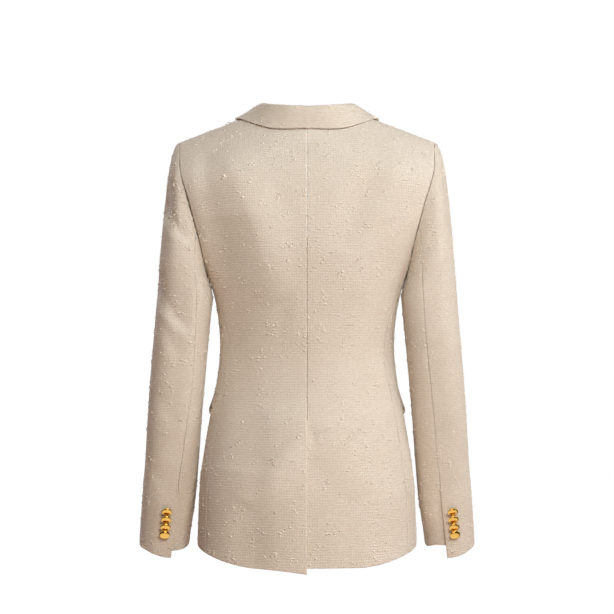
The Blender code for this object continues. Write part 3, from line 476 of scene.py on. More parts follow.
def path(t, *corners):
    """A pair on the straight lines through corners that are evenly spaced in t."""
    corners = np.array(corners)
    knots = np.linspace(0, 1, len(corners))
    return pair(np.interp(t, knots, corners[:, 0]), np.interp(t, knots, corners[:, 1]))


def outward(face, u, v):
    """Unit normals of a face at arrays of u and v, also right on its edges."""
    step = 1e-4
    along = face(np.minimum(u + step, 1), v) - face(np.maximum(u - step, 0), v)
    up = face(u, np.minimum(v + step, 1)) - face(u, np.maximum(v - step, 0))
    return unit(np.cross(up, along))


def thick(face):
    """A face as a surface that can also be asked for at a depth into the cloth."""
    return lambda u, v, sunk=0.0: face(u, v) - outward(face, u, v) * np.asarray(sunk)[..., None]

# %% [markdown]
# ## Creases
#
# Tweed with a lining doesn't crumple. It hangs in long soft troughs where it is drawn in at the
# waist, and in short ones where a sleeve bends. The largest are part of the back's form, above. The
# finer ones are listed in the same way: how deep each is, and the points that its bottom
# runs through, with how far it reaches to the right and to the left of each.

# %% Creases, listed one by one
CREASES = {  # depth, then X, Z and both reaches; all in mm
    "back": (
        (1.6, (6, -428, 8, 9), (30, -452, 12, 14), (62, -492, 16, 18), (88, -540, 18, 20)),
        (1.5, (-6, -434, 10, 14), (-34, -462, 14, 20), (-58, -486, 16, 22), (-84, -512, 18, 24)),
        (1.4, (-3, -430, 4, 5), (-7, -446, 5, 6), (-14, -470, 5, 6)),
        (2.2, (92, -545, 30, 18), (96, -590, 34, 18), (98, -640, 34, 18)),
        (1.8, (-122, -130, 14, 22), (-112, -200, 18, 26), (-100, -270, 20, 26), (-98, -330, 20, 26)),
        (1.0, (-60, -560, 16, 22), (-62, -600, 18, 24), (-60, -650, 18, 24)),
        (1.0, (20, -200, 12, 12), (34, -262, 14, 16), (40, -330, 12, 14)),
    ),
    "front": (
        (3.0, (132, -150, 24, 18), (112, -220, 26, 22), (98, -300, 26, 24), (104, -372, 22, 24)),
        (3.0, (-132, -146, 18, 24), (-110, -216, 22, 26), (-96, -298, 24, 26), (-104, -370, 24, 22)),
        (1.6, (-60, -262, 16, 12), (-88, -280, 14, 12), (-116, -276, 12, 10)),
        (1.6, (30, -430, 16, 16), (58, -500, 20, 20), (70, -590, 20, 20)),
        (1.6, (-34, -436, 16, 16), (-60, -510, 20, 20), (-66, -600, 20, 20)),
    ),
    "left_sleeve_behind": (
        (8.0, (228, -84, 60, 14), (208, -122, 48, 12), (192, -146, 28, 12), (166, -168, 12, 8)),
        (6.0, (232, -218, 60, 14), (212, -250, 44, 14), (196, -274, 28, 12), (172, -298, 12, 8)),
        (2.6, (220, -276, 24, 10), (204, -306, 22, 12), (188, -340, 16, 10)),
        (1.6, (226, -380, 26, 10), (206, -420, 24, 12), (190, -440, 14, 10)),
        (1.2, (232, -500, 22, 10), (214, -526, 20, 10)),
    ),
    "right_sleeve_behind": (
        (2.8, (206, -142, 9, 10), (190, -152, 9, 12), (176, -172, 9, 12), (162, -204, 8, 10)),
        (2.0, (214, -196, 10, 10), (196, -214, 10, 14), (176, -246, 10, 12)),
        (1.2, (222, -300, 12, 12), (196, -318, 12, 16), (172, -330, 12, 12)),
        (1.2, (230, -430, 12, 12), (206, -446, 12, 16), (184, -450, 12, 12)),
    ),
    "sleeve_in_front": (
        (2.4, (206, -96, 14, 12), (186, -130, 14, 14), (168, -170, 12, 12)),
        (2.2, (214, -236, 12, 12), (184, -262, 12, 14), (156, -270, 12, 12)),
        (2.8, (222, -296, 12, 12), (190, -324, 14, 14), (160, -326, 12, 12)),
        (2.4, (226, -352, 12, 12), (192, -374, 12, 14), (162, -372, 12, 12)),
        (1.6, (232, -440, 12, 12), (202, -456, 12, 14), (174, -452, 12, 12)),
    ),
}


def crease_depth(kind, x, z):
    return fold_depth(CREASES[kind], x, z)


print(sum(len(kind) for kind in CREASES.values()), "creases beside the", len(FOLDS), "large folds")

# %% [markdown]
# ## The panels
#
# The back is two halves, seamed down the centre as far as the vent. Each panel is bounded by four
# edges, and a Coons patch fills in between them, so its rows follow the hem at the bottom and the
# shoulder at the top, as the weft of a shaped panel does.

# %% The back and the side pieces
def back_surface(side):
    """One half of the back, from the centre seam to the side seam and from the hem to the shoulder.
    Below the vent's top the left half stands out over the right one, which reaches on under it."""
    low, neck_share = hem_z(0), 0.3

    def centre(v):
        z = mix(low, NAPE_Z, v)
        under = np.clip((VENT_TOP_Z - z) / VENT_SLANT, 0, 1) * (side == RIGHT)
        drop = VENT_CORNER_DROP * fade(z, low, VENT_TOP_Z) * (side == LEFT)
        return pair(mix(SEAM / 2, -VENT_LAP, under), z - drop)

    def side_edge(v):
        z = mix(hem_z(SIDE_SEAMS["back"][0]), TIP_Z, v)
        seam = smooth(SIDE_SEAMS, "back", z)
        angle = np.where(z < SIDE_TOP_Z, seam, armhole_angle(z, False))
        return in_by_seam(body(angle, z)[..., 0], z)

    def hem(u):
        x = mix(centre(u * 0)[..., 0], side_edge(u * 0)[..., 0], u)
        drop = VENT_CORNER_DROP * (1 - u) ** 3 * (side == LEFT)
        return pair(x, hem_z(angle_at(x, low, False)) - drop)

    def shoulder(u):
        neck_x = mix(SEAM / 2, NECK_HALF, np.minimum(u / neck_share, 1))
        seam_x = mix(NECK_HALF, SHOULDER_HALF - SEAM / 2, (u - neck_share) / (1 - neck_share))
        x = np.where(u < neck_share, neck_x, seam_x)
        return pair(x, np.where(u < neck_share, neckline_z(neck_x), ridge(seam_x)))

    layout = body_patch(hem, shoulder, centre, side_edge)

    def surface(u, v, sunk=0.0):
        x, z = layout(u, v)
        lift = VENT_LIFT * fade(x, *VENT_FADE) * fade(z, VENT_TOP_Z, VENT_TOP_Z + 0.03)
        lift = lift + VENT_SWING * fade(x, 0, VENT_SWING_WIDTH) * fade(z, low, VENT_TOP_Z)
        lift = lift * (side == LEFT)
        calm = mix(ease((1 - u) * SEAM_CALM), 1, fade(z, *FOLDS_PASS_Z))
        place = lifted(angle_at(x, z, False), z, lift - sunk) + np.array((0, SEAM * 0.7, 0))
        return drawn_in(place, fold_depth(FOLDS, side * x, z) * calm)

    return surface


def side_surface(side):
    """The side piece, from the back seam to the front seam and from the hem to the armhole."""

    def edge(column, top_z, inwards):
        def line(v):
            z = mix(hem_z(SIDE_SEAMS[column][0]), top_z, v)
            return pair(smooth(SIDE_SEAMS, column, z) + inwards * seam_turn(), z)

        return line

    back_edge = edge("back", SIDE_TOP_Z, 1)
    front_edge = edge("front", SIDE_TOP_Z, -1)

    def underarm(u):
        middle = (TIP_Z + ARMPIT_Z) / 2
        start, end = (
            math.degrees(math.acos((z - middle) / (TIP_Z - middle)))
            for z in (SIDE_TOP_Z, SIDE_TOP_Z)
        )
        turn = mix(start, 360 - end, u)
        z = middle + (TIP_Z - middle) * np.cos(np.radians(turn))
        angle = armhole_angle(z, turn > 180)
        inside = seam_turn() * (1 - 2 * u)
        return pair(angle + inside, z - SEAM)

    def hem(u):
        angle = mix(back_edge(u * 0)[..., 0], front_edge(u * 0)[..., 0], u)
        return pair(angle, hem_z(angle))

    layout = patch(hem, underarm, back_edge, front_edge)

    def surface(u, v, sunk=0.0):
        angle, z = layout(u, v)
        folded_by = fold_depth(FOLDS, side * body(angle, z)[..., 0], z) * fade(z, *FOLDS_PASS_Z)
        return drawn_in(lifted(angle, z, -sunk), folded_by * ease(1 - u))

    return surface

# %% The fronts and the lapels
def turned_edge_x(z):
    """X of the left front's edge: straight below the break, and the lapel's roll line above it."""
    top_z = ridge(NECK_HALF)
    return -FRONT_LAP + (NECK_HALF + FRONT_LAP) * np.clip((z - BREAK_Z) / (top_z - BREAK_Z), 0, 1)


def lap_lift(side, x, z):
    """How far the right front lies out over the left one."""
    if side == LEFT:
        return np.zeros_like(x)
    return LAP_LIFT * fade(x, *LAP_FADE) * fade(z, *LAP_RISE_Z)


def front_surface(side):
    """One front, from the side piece and armhole to its edge, and from the hem to the shoulder."""
    low = hem_z(180)

    def side_edge(v):
        z = mix(hem_z(SIDE_SEAMS["front"][0]), TIP_Z, v)
        seam = smooth(SIDE_SEAMS, "front", z)
        angle = np.where(z < SIDE_TOP_Z, seam, armhole_angle(z, True))
        return in_by_seam(body(angle, z)[..., 0], z)

    def edge(v):
        z = mix(low, ridge(NECK_HALF), v)
        return pair(turned_edge_x(z), z)

    def hem(u):
        x = mix(side_edge(u * 0)[..., 0], edge(u * 0)[..., 0], u)
        return pair(x, np.where(x > 0, hem_z(angle_at(x, low, True)), low))

    def shoulder(u):
        x = mix(SHOULDER_HALF - SEAM / 2, NECK_HALF, u)
        return pair(x, ridge(x))

    layout = body_patch(hem, shoulder, side_edge, edge)

    def surface(u, v, sunk=0.0):
        x, z = layout(u, v)
        lift = lap_lift(side, x, z)
        return lifted(angle_at(x, z, True), z, lift - sunk) - np.array((0, SEAM * 0.7, 0))

    return surface


def lapel_surface(side):
    """The peak lapel, from the roll line to its outer edge and from the break to the gorge seam."""
    roll_top = (float(turned_edge_x(GORGE_Z)), GORGE_Z)

    def roll(v):
        z = mix(BREAK_Z, GORGE_Z, v)
        return pair(turned_edge_x(z) - 0.001, z)

    def belly(v):
        start = np.array((-FRONT_LAP + 0.008, BREAK_Z + 0.004))
        v = v[..., None]
        return start * (1 - v) ** 2 + 2 * np.array(BELLY) * v * (1 - v) + np.array(PEAK) * v**2

    def break_edge(u):
        return mix(roll(u * 0), belly(u * 0), u[..., None])

    def gorge(u):
        first = np.array(roll_top) - np.array((0.001, 0))
        return path(u, first, NOTCH, PEAK) - np.array((0, 2 * SEAM))

    layout = patch(break_edge, gorge, roll, belly)

    def surface(u, v, sunk=0.0):
        from_roll = 1 - u
        x, z = layout(from_roll, v)
        swell = ROLL_SWELL * np.sin(math.pi * np.minimum(from_roll / 0.5, 1))
        swell = swell * fade(z, -0.08, -0.15) * fade(z, -0.06, -0.03)
        lift = lap_lift(side, x, z) + LAYER + swell
        return lifted(angle_at(x, z, True), z, lift - sunk) - np.array((0, SEAM * 0.6, 0))

    return surface

# %% [markdown]
# ## The collar
#
# A collar is one strip that stands up from the neck seam, folds, and falls over the back and the
# shoulders. Its section is two cubic curves that meet at the fold, and the strip's ends are drawn on
# to the gorge seams, where they meet the lapels.

# %% The collar
def clear_of_body(place, lift):
    """Points pushed out to at least lift above the form near the shoulder line."""
    x, y, z = np.moveaxis(place, -1, 0)
    centre_z = np.minimum(ridge(x) - ARCH, z)
    depth = np.maximum(depth_at(x, z, y < 0), 0.01)
    share = np.sqrt((y / depth) ** 2 + ((z - centre_z) / ARCH) ** 2)
    push = np.maximum((1 + lift / np.minimum(depth, ARCH)) / np.maximum(share, 0.2), 1)
    return points(x, y * push, centre_z + (z - centre_z) * push)


def neck_seam(along):
    """The collar's lower edge just off the neck seam, from the centre back to the roll line."""
    back_x = NECK_HALF * np.minimum(along / COLLAR_SHOULDER, 1)
    back_z = neckline_z(back_x)
    past_shoulder = np.clip((along - COLLAR_SHOULDER) / (1 - COLLAR_SHOULDER), 0, 1)
    front_z = mix(ridge(NECK_HALF), GORGE_Z, past_shoulder)
    front_x = turned_edge_x(front_z)
    on_back = along < COLLAR_SHOULDER
    x, z = np.where(on_back, back_x, front_x), np.where(on_back, back_z, front_z)
    y = depth_at(x, z, ~on_back) * arch(x, z) * np.where(on_back, 1, -1)
    off = points(*(smooth(COLLAR, f"off_{axis}", along) for axis in "xyz"))
    return points(x, y, z) + off


def gorge_line(share):
    """The collar's end along the gorge seam, from the roll line to the notch, lying on the front."""
    start = np.array((turned_edge_x(GORGE_Z), GORGE_Z))
    x, z = np.moveaxis(mix(start, np.array(NOTCH), np.asarray(share)[..., None]), -1, 0)
    z = z + 2.5 * SEAM
    return lifted(angle_at(x, z, True), z, LAYER + 0 * x)


def collar_edge(along):
    """The fall's outer edge: smooth to the collar's corner, then straight to the notch."""
    corner = np.minimum(along, COLLAR_CORNER)
    rest = mix(COLLAR_REST, COLLAR_NEAR, ease((along - 0.3) / 0.2))
    edge = over_shoulder(smooth(COLLAR, "edge_x", corner), smooth(COLLAR, "edge_over", corner))
    beyond = np.clip((along - COLLAR_CORNER) / (1 - COLLAR_CORNER), 0, 1)[..., None]
    return clear_of_body(mix(edge, gorge_line(GORGE_END + 0 * along), beyond), rest)


def hermite(start, end, leaving, arriving, t):
    t = t[..., None]
    return (
        start * (1 + 2 * t) * (1 - t) ** 2
        + leaving * t * (1 - t) ** 2
        + end * t**2 * (3 - 2 * t)
        + arriving * t**2 * (t - 1)
    )


def folded(along, down):
    """The collar by its place along the neck and its way down: up the stand, over, and down the fall."""
    seam = neck_seam(along)
    fold = points(*(smooth(COLLAR, f"fold_{axis}", along) for axis in "xyz"))
    edge = collar_edge(along)
    away = unit((edge - fold) * np.array((1, 1, 0)))
    stand_height = np.linalg.norm(fold - seam, axis=-1, keepdims=True)
    fold_reach = np.minimum(FOLD_REACH, 2 * stand_height)
    stand_at = np.clip(down / STAND_SHARE, 0, 1)
    stand = hermite(seam, fold, fold - seam, away * fold_reach, stand_at)
    reach = FOLD_REACH * mix(1.2, 0.4, ease((along - 0.6) / 0.4))[..., None]
    fall_at = fall_share(down)
    fall = hermite(fold, edge, away * reach, (edge - fold) * 1.1, fall_at)
    fall = clear_of_body(fall, COLLAR_NEAR * ease(fall_at * 5))
    return np.where((down < STAND_SHARE)[..., None], stand, fall)


def fall_share(down):
    return np.clip((down - STAND_SHARE) / (1 - STAND_SHARE), 0, 1)


def collar_face(u, v):
    """The collar from the right notch round the neck to the left one: from its outer edge up the
    fall to the fold, and inside down the stand to the neck seam. Its two ends are drawn on to the
    gorge seams."""
    along, down = np.abs(2 * u - 1), 1 - v
    end = np.ones_like(along)
    miss = gorge_line(GORGE_END * fall_share(down)) - folded(end, np.maximum(down, STAND_SHARE))
    drawn = ease((along - COLLAR_CORNER) / (1 - COLLAR_CORNER)) * np.minimum(down / STAND_SHARE, 1)
    half = folded(along, down) + miss * drawn[..., None]
    return half * points(np.where(u < 0.5, -1, 1), 1, 1)

# %% [markdown]
# ## The sleeves
#
# A tailored sleeve has two pieces, a wide top sleeve and a narrow under sleeve, and it hangs a little
# forwards. Level rings make the tube, and above the underarm each line of the tube turns in to its own
# point of the armhole, which rounds the sleeve's head.

# %% The sleeves
def sleeve_ring(turn, z):
    """A level section of the hanging sleeve."""
    outer, inner = smooth(SLEEVE, "outer_x", z), smooth(SLEEVE, "inner_x", z)
    x = (outer + inner) / 2 + (outer - inner) / 2 * np.cos(np.radians(turn))
    bulge = (1 - np.abs(np.cos(np.radians(turn))) ** SLEEVE_SQUARE) ** (1 / SLEEVE_SQUARE)
    away = smooth(SLEEVE, "half_depth", z) * bulge * np.sign(np.sin(np.radians(turn)))
    return points(x, smooth(SLEEVE, "middle_y", z) + away, z)


def sleeve(turn, z):
    """The sleeve by its turn (0 outside, 90 behind) and its height; above SLEEVE_TOP_Z the height
    counts how far the line has come towards the armhole, which it reaches at TIP_Z."""
    turn = np.asarray(turn)
    below = np.minimum(z, SLEEVE_TOP_Z)
    ring = sleeve_ring(turn, below)
    low = fade(below, CUFF_Z, -0.45)
    drop = CUFF_TILT * (ring[..., 1] - smooth(SLEEVE, "middle_y", below)) * low
    ring = ring - points(0 * drop, 0 * drop, drop)

    share = np.clip((z - SLEEVE_TOP_Z) / (TIP_Z - SLEEVE_TOP_Z), 0, 1)
    top = sleeve_ring(turn, SLEEVE_TOP_Z + 0 * z)
    hole = armhole_point(turn)
    rising = unit(top - sleeve_ring(turn, SLEEVE_TOP_Z - 0.02 + 0 * z))
    c, s = np.cos(np.radians(turn)), np.sin(np.radians(turn))
    leaving = unit(points(0.35 + 0.53 * c, 0.22 * s, -0.72 + 0.27 * c))
    under_arm = ((1 - c) / 2)[..., None]
    hole = hole + mix(leaving, np.array((1.0, 0, 0)), under_arm) * SEAM * HEAD_GAP
    span = np.linalg.norm(hole - top, axis=-1, keepdims=True)
    head = 3 * (0.018 + 0.010 * s**2 - 0.008 * (1 - c) / 2)[..., None]
    leave = leaving * np.minimum(head, span)
    rise = rising * span * mix(1.0, 1.7, 1 - under_arm)
    line = hermite(top, hole, rise, -leave, share)
    return np.where((z <= SLEEVE_TOP_Z)[..., None], ring, line)


def hind_turn(side, z):
    return smooth(HIND_SEAM, SIDE_NAME[side], z)


def vent_near(z):
    return fade(z, CUFF_Z + CUFF_VENT - 0.006, CUFF_Z + CUFF_VENT)


def sleeve_surface(side, top_sleeve):
    """The top sleeve runs from the hind seam over the outside to the fore seam, and the under sleeve
    on from there; in the cuff's vent the top sleeve laps over the under one."""
    gap = seam_turn(0.045)
    lap_turn = math.degrees(CUFF_LAP / 0.041)

    def layout(u, v):
        z = mix(CUFF_Z, TIP_Z, v)
        hind = hind_turn(side, z)
        if top_sleeve:
            return mix(hind - gap, FORE_SEAM + gap, u), z
        hind = hind + gap - lap_turn * vent_near(z)
        return mix(FORE_SEAM + 360 - gap, hind, u), z

    def face(u, v):
        turn, z = layout(u, v)
        place = sleeve(turn, z)
        from_seam = np.abs(turn - hind_turn(side, z))
        at_vent = fade(z, CUFF_Z + CUFF_VENT - 0.01, CUFF_Z + CUFF_VENT + 0.02)
        if top_sleeve:
            move = CUFF_SPREAD * fade(from_seam, 32, 60) * at_vent
            drop = CUFF_CORNER_DROP * fade(from_seam, 0, CUFF_CORNER_TURN)
        else:
            move = -CUFF_SPREAD * fade(turn, hind_turn(side, z), hind_turn(side, z) + 25) * at_vent
            drop = -UNDER_CUFF_RISE[side] * fade(from_seam, 20, 70)
        drop = drop * fade(z, CUFF_Z, CUFF_Z + 0.05)
        away = points(np.cos(np.radians(turn)), np.sin(np.radians(turn)), 0 * z)
        return place + away * move[..., None] - points(0 * z, 0 * z, drop)

    return thick(face)

# %% The pocket flaps
def flap_surface(side):
    """A flap on the front and side piece, with rounded lower corners, standing out a little."""

    def surface(u, v, sunk=0.0):
        corner = np.clip((np.abs(u - 0.5) - (0.5 - FLAP_ROUND)) / FLAP_ROUND, 0, 1)
        rounding = 0.22 * (1 - np.sqrt(1 - 0.999 * corner**2))
        z = FLAP_TOP_Z - FLAP_HEIGHT * (1 - v) * (1 - rounding)
        front_angle = angle_at(FLAP_FRONT_X, z, True)
        angle = mix(FLAP_BACK_ANGLE, front_angle, u)
        x = body(angle, z)[..., 0]
        lift = lap_lift(side, x, z) + FLAP_LAYER + FLAP_STAND * (1 - v) ** 1.5
        return lifted(angle, z, lift - sunk)

    return surface

# %% [markdown]
# ## Making a panel
#
# A panel starts as Blender's grid primitive, with one row or column for each place where the cloth
# needs points: a few millimetres apart in the middle and under one millimetre at the edges, which
# are rolled in. The grid is then laid on its surface, and Solidify gives it the cloth's thickness.
# A simulation would wrinkle it at random, while a surface that is a function keeps each crease where
# it was put.

# %% Spacing of the points
STEP = 0.0036  # between points in the middle of a panel
EDGE_STEPS = np.array((0, 0.0007, 0.0015, 0.0026))  # from an edge inwards
SEAM_ROLL = (0.0006, 0.0016)  # a seam's depth, and how far in it reaches
FOLD_ROLL = (0.0005, 0.0013)  # the same for a folded edge
ARMHOLE_ROLL = (0.0003, 0.0010)  # and for the sleeve's head, which is pressed over the armhole
TOP_LEVEL = -0.300  # height at which the weft is level all round


def spread(length):
    """Shares from 0 to 1 of a row of points, close together at both ends."""
    near = EDGE_STEPS / length
    count = max(2, round((length - 2 * EDGE_STEPS[-1]) / STEP))
    middle = np.linspace(near[-1], 1 - near[-1], count + 1)
    return np.concatenate([near[:-1], middle, 1 - near[:-1][::-1]])


def along_rows(places):
    """Length from the first column to each point, along its row."""
    steps = np.linalg.norm(np.diff(places, axis=1), axis=-1)
    return np.concatenate([np.zeros((len(places), 1)), np.cumsum(steps, axis=1)], axis=1)


def along_columns(places):
    return along_rows(places.swapaxes(0, 1)).swapaxes(0, 1)


def rolled(across, up, rolls):
    """How far the edges are rolled in: rolls names the first and last column and the first and last row."""
    distances = (across, across[:, -1:] - across, up, up[-1:] - up)
    sunk = np.zeros_like(across)
    for distance, (depth, reach) in zip(distances, rolls):
        sunk = np.maximum(sunk, depth * np.clip(1 - distance / reach, 0, 1) ** 2)
    return sunk

# %% One panel
def deselect():
    if bpy.context.object and bpy.context.object.mode != "OBJECT":
        bpy.ops.object.mode_set(mode="OBJECT")
    bpy.ops.object.select_all(action="DESELECT")


def apply_modifier(piece, kind, **settings):
    added = piece.modifiers.new(kind.title(), kind)
    for key, value in settings.items():
        setattr(added, key, value)
    deselect()
    bpy.context.view_layer.objects.active = piece
    piece.select_set(True)
    bpy.ops.object.modifier_apply(modifier=added.name)


def weft_height(places, outwards):
    """Height along the cloth, straight up its slope, counted from the level at which the weft is level."""
    uphill = np.array((0, 0, 1)) - outwards * outwards[..., 2:]
    uphill /= np.linalg.norm(uphill, axis=-1, keepdims=True)
    steps = (np.diff(places, axis=0) * (uphill[1:] + uphill[:-1]) / 2).sum(axis=-1)
    up = np.concatenate([np.zeros((1, places.shape[1])), np.cumsum(steps, axis=0)])
    columns = zip(places[..., 2].T, up.T)
    return up - np.array([np.interp(TOP_LEVEL, column_z, column_up) for column_z, column_up in columns])


def panel(name, side, surface, rolls, crease=None, level=True):
    """A panel of cloth, and what its slubs need to know about it."""
    rough = np.linspace(0, 1, 41)
    first = surface(*np.meshgrid(rough, rough))
    width, length = along_rows(first)[:, -1].max(), along_columns(first)[-1].max()
    u, v = np.meshgrid(spread(width), spread(length))
    flat = surface(u, v)
    across, up = along_rows(flat), along_columns(flat)
    sunk = rolled(across, up, rolls)
    if crease:
        sunk = sunk + crease(flat * np.array((side, 1, 1)), u)
    turned = np.array((side, 1, 1))
    places = surface(u, v, sunk) * turned
    outwards = (flat - surface(u, v, WALL)) * turned / WALL
    height = weft_height(flat, outwards * turned) if level else up

    deselect()
    bpy.ops.mesh.primitive_grid_add(x_subdivisions=u.shape[1] - 1, y_subdivisions=u.shape[0] - 1, size=1)
    piece = bpy.context.object
    piece.name = piece.data.name = name
    mesh = piece.data
    mesh.vertices.foreach_set("co", places.reshape(-1))
    corner = np.empty(len(mesh.loops), dtype=np.int32)
    mesh.loops.foreach_get("vertex_index", corner)
    cloth_map = mesh.uv_layers.active
    cloth_map.name = "cloth"
    cloth_map.data.foreach_set("uv", np.stack([across, height], -1).reshape(-1, 2)[corner].reshape(-1))
    mesh.update()
    facing = np.array(mesh.polygons[len(mesh.polygons) // 2].normal)
    if facing @ outwards.reshape(-1, 3)[mesh.polygons[len(mesh.polygons) // 2].vertices[0]] < 0:
        mesh.flip_normals()
    apply_modifier(piece, "SOLIDIFY", thickness=WALL, offset=-1.0)
    bpy.ops.object.shade_smooth_by_angle(angle=math.radians(50))
    steps_across = np.linalg.norm(np.diff(flat[:-1], axis=1), axis=-1)
    steps_up = np.linalg.norm(np.diff(flat[:, :-1], axis=0), axis=-1)
    cut = {
        "flat": (float(across[:, -1].max()), float(up[-1].max())),
        "area": float((steps_across * steps_up).sum()),
    }
    wide, long = (round(measure * 1000) for measure in cut["flat"])
    print(f"{name}: {wide} x {long} mm, {len(mesh.polygons)} faces")
    return piece, {"places": places, "outwards": outwards, "cells": steps_across * steps_up, **cut}

# %% [markdown]
# ## Tweed
#
# Ivory slub tweed is wool woven in a plain weave from yarns of uneven thickness. It has no gloss, a
# faint bloom of fibre ends when it is seen edge on, low ribs where thick wefts lie side by side, and
# small knots, the slubs, that stand out of it.

# %% A material's nodes
def colour(code):
    """An sRGB hex colour as linear RGBA."""
    parts = [int(code[i : i + 2], 16) / 255 for i in (1, 3, 5)]
    return (*(p / 12.92 if p <= 0.04045 else ((p + 0.055) / 1.055) ** 2.4 for p in parts), 1)


def node(tree, kind, inputs=(), **settings):
    """Adds one node, sets it, and links or sets its inputs."""
    made = tree.nodes.new("ShaderNode" + kind)
    for key, value in settings.items():
        setattr(made, key, value)
    for key, value in dict(inputs).items():
        if isinstance(value, bpy.types.NodeSocket):
            tree.links.new(value, made.inputs[key])
        else:
            made.inputs[key].default_value = value
    return made


def material(name, **settings):
    """A material with a Principled shader, and its tree."""
    made = bpy.data.materials.new(name)
    made.use_nodes = True
    shader = made.node_tree.nodes["Principled BSDF"]
    for key, value in settings.items():
        shader.inputs[key.replace("_", " ")].default_value = value
    return made, made.node_tree, shader


def bands(period):
    """Scale of a Wave texture, for a period in metres."""
    return math.pi / 10 / period

# %% Ivory slub tweed
WEFT = 0.0038  # between the wefts: really about half of this, drawn coarser so that it shows
WARP = 0.0038
FIBRE = 0.0012
WEFT_WANDER, WARP_WANDER = 3.4, 6.0  # how far the yarns stray from their lines
YARN_RUNS = (190.0, 330.0, 1.0)  # changes of thickness on a metre, along the weft and up the warp
CLOUDS = 14.0  # patches of shade on a metre
BUMP_DEPTH = 0.0006


def tweed(name, light, shade, fleck_and_hollow_shade):
    made, tree, shader = material(name, Roughness=0.92, Sheen_Weight=0.18, Sheen_Roughness=0.45, IOR=1.5)
    shader.inputs["Specular IOR Level"].default_value = 0.22
    place = node(tree, "UVMap", uv_map="cloth").outputs["UV"]
    wander = {"Vector": place, "Detail": 2.0, "Detail Scale": 1.4}
    wefts = {**wander, "Scale": bands(WEFT), "Distortion": WEFT_WANDER}
    wefts = node(tree, "TexWave", wefts, bands_direction="Y").outputs["Fac"]
    warps = {**wander, "Scale": bands(WARP), "Distortion": WARP_WANDER}
    warps = node(tree, "TexWave", warps, bands_direction="X").outputs["Fac"]
    warps = node(tree, "Math", {0: warps, 1: 0.8, 2: 0.2}, operation="MULTIPLY_ADD").outputs[0]
    nubs = node(tree, "Math", {0: wefts, 1: warps}, operation="MULTIPLY").outputs[0]
    runs = node(tree, "Mapping", {"Vector": place, "Scale": YARN_RUNS}).outputs[0]
    runs = {"Vector": runs, "Scale": 1.0, "Detail": 3.0, "Roughness": 0.6}
    thick = node(tree, "TexNoise", runs).outputs["Fac"]
    grain = node(tree, "TexNoise", {"Vector": place, "Scale": 1 / FIBRE, "Detail": 1.0}).outputs["Fac"]
    cloud = node(tree, "TexNoise", {"Vector": place, "Scale": CLOUDS, "Detail": 2.0}).outputs["Fac"]

    yarns = node(tree, "MapRange", {0: thick, 1: 0.38, 2: 0.66, 3: 0.0, 4: 1.0}).outputs[0]
    base = node(tree, "Mix", {0: yarns, 6: colour(shade), 7: colour(light)}, data_type="RGBA").outputs[2]
    patchy = node(tree, "MapRange", {0: cloud, 1: 0.3, 2: 0.7, 3: 0.0, 4: 0.22}).outputs[0]
    base = node(tree, "Mix", {0: patchy, 6: base, 7: colour(fleck_and_hollow_shade)}, data_type="RGBA").outputs[2]
    # Where the yarns cross least, the weave's hollows are mixed towards the fleck colour: painted shade
    # between the yarns.
    hollow_shade = node(tree, "MapRange", {0: nubs, 1: 0.0, 2: 0.5, 3: 0.20, 4: 0.0}).outputs[0]
    base = node(tree, "Mix", {0: hollow_shade, 6: base, 7: colour(fleck_and_hollow_shade)}, data_type="RGBA").outputs[2]
    tree.links.new(base, shader.inputs["Base Color"])

    raised = node(tree, "Math", {0: thick, 1: 0.8, 2: nubs}, operation="MULTIPLY_ADD").outputs[0]
    raised = node(tree, "Math", {0: grain, 1: 0.5, 2: raised}, operation="MULTIPLY_ADD").outputs[0]
    bump = node(tree, "Bump", {"Height": raised, "Strength": 0.6, "Distance": BUMP_DEPTH}).outputs[0]
    tree.links.new(bump, shader.inputs["Normal"])
    return made


ivory = tweed("ivory_slub_tweed", "#F2EBE1", "#E6DCCE", "#CDBEA9")
slub_wool, _, _ = material("slub_wool", Base_Color=colour("#EFE6DA"), Roughness=0.95)
paillette, _, _ = material("paillette", Base_Color=colour("#FFFFFF"), Roughness=0.12, Coat_Weight=1.0)
print("materials:", ", ".join(m.name for m in (ivory, slub_wool, paillette)))

# %% [markdown]
# ## Slubs and paillettes
#
# A slub is a short thick place in a weft yarn, so it lies along the weft and often has a neighbour a
# pick or two away. Thousands of them are too many to model one by one: one slub is shaped from an
# icosphere of twenty faces, and copies of it are laid on each panel, a handful to each patch of cloth.
# Tiny paillettes are strewn in short rows over the shoulders and the collar, and thinly elsewhere.

# %% One slub and one paillette
def shape_of(piece):
    """A piece's points and faces, and the piece removed."""
    points_of = np.array([v.co for v in piece.data.vertices])
    faces_of = [tuple(f.vertices) for f in piece.data.polygons]
    bpy.data.objects.remove(piece)
    return points_of, faces_of


deselect()
bpy.ops.mesh.primitive_ico_sphere_add(subdivisions=1, radius=1)
SLUB = shape_of(bpy.context.object)
bpy.ops.mesh.primitive_cylinder_add(vertices=6, radius=1, depth=0.3)
PAILLETTE = shape_of(bpy.context.object)


def strewn(name, shape, spots, finish):
    """Copies of a small shape as one mesh. Each spot is a place, three directions with their lengths."""
    corners, faces = shape
    every, rings = [], []
    for number, (place, frame_of) in enumerate(spots):
        every.append(corners @ frame_of + place)
        rings += [tuple(c + number * len(corners) for c in ring) for ring in faces]
    mesh = bpy.data.meshes.new(name)
    mesh.from_pydata(np.concatenate(every).tolist(), [], rings)
    mesh.shade_smooth()
    mesh.materials.append(finish)
    piece = bpy.data.objects.new(name, mesh)
    bpy.context.collection.objects.link(piece)
    return piece


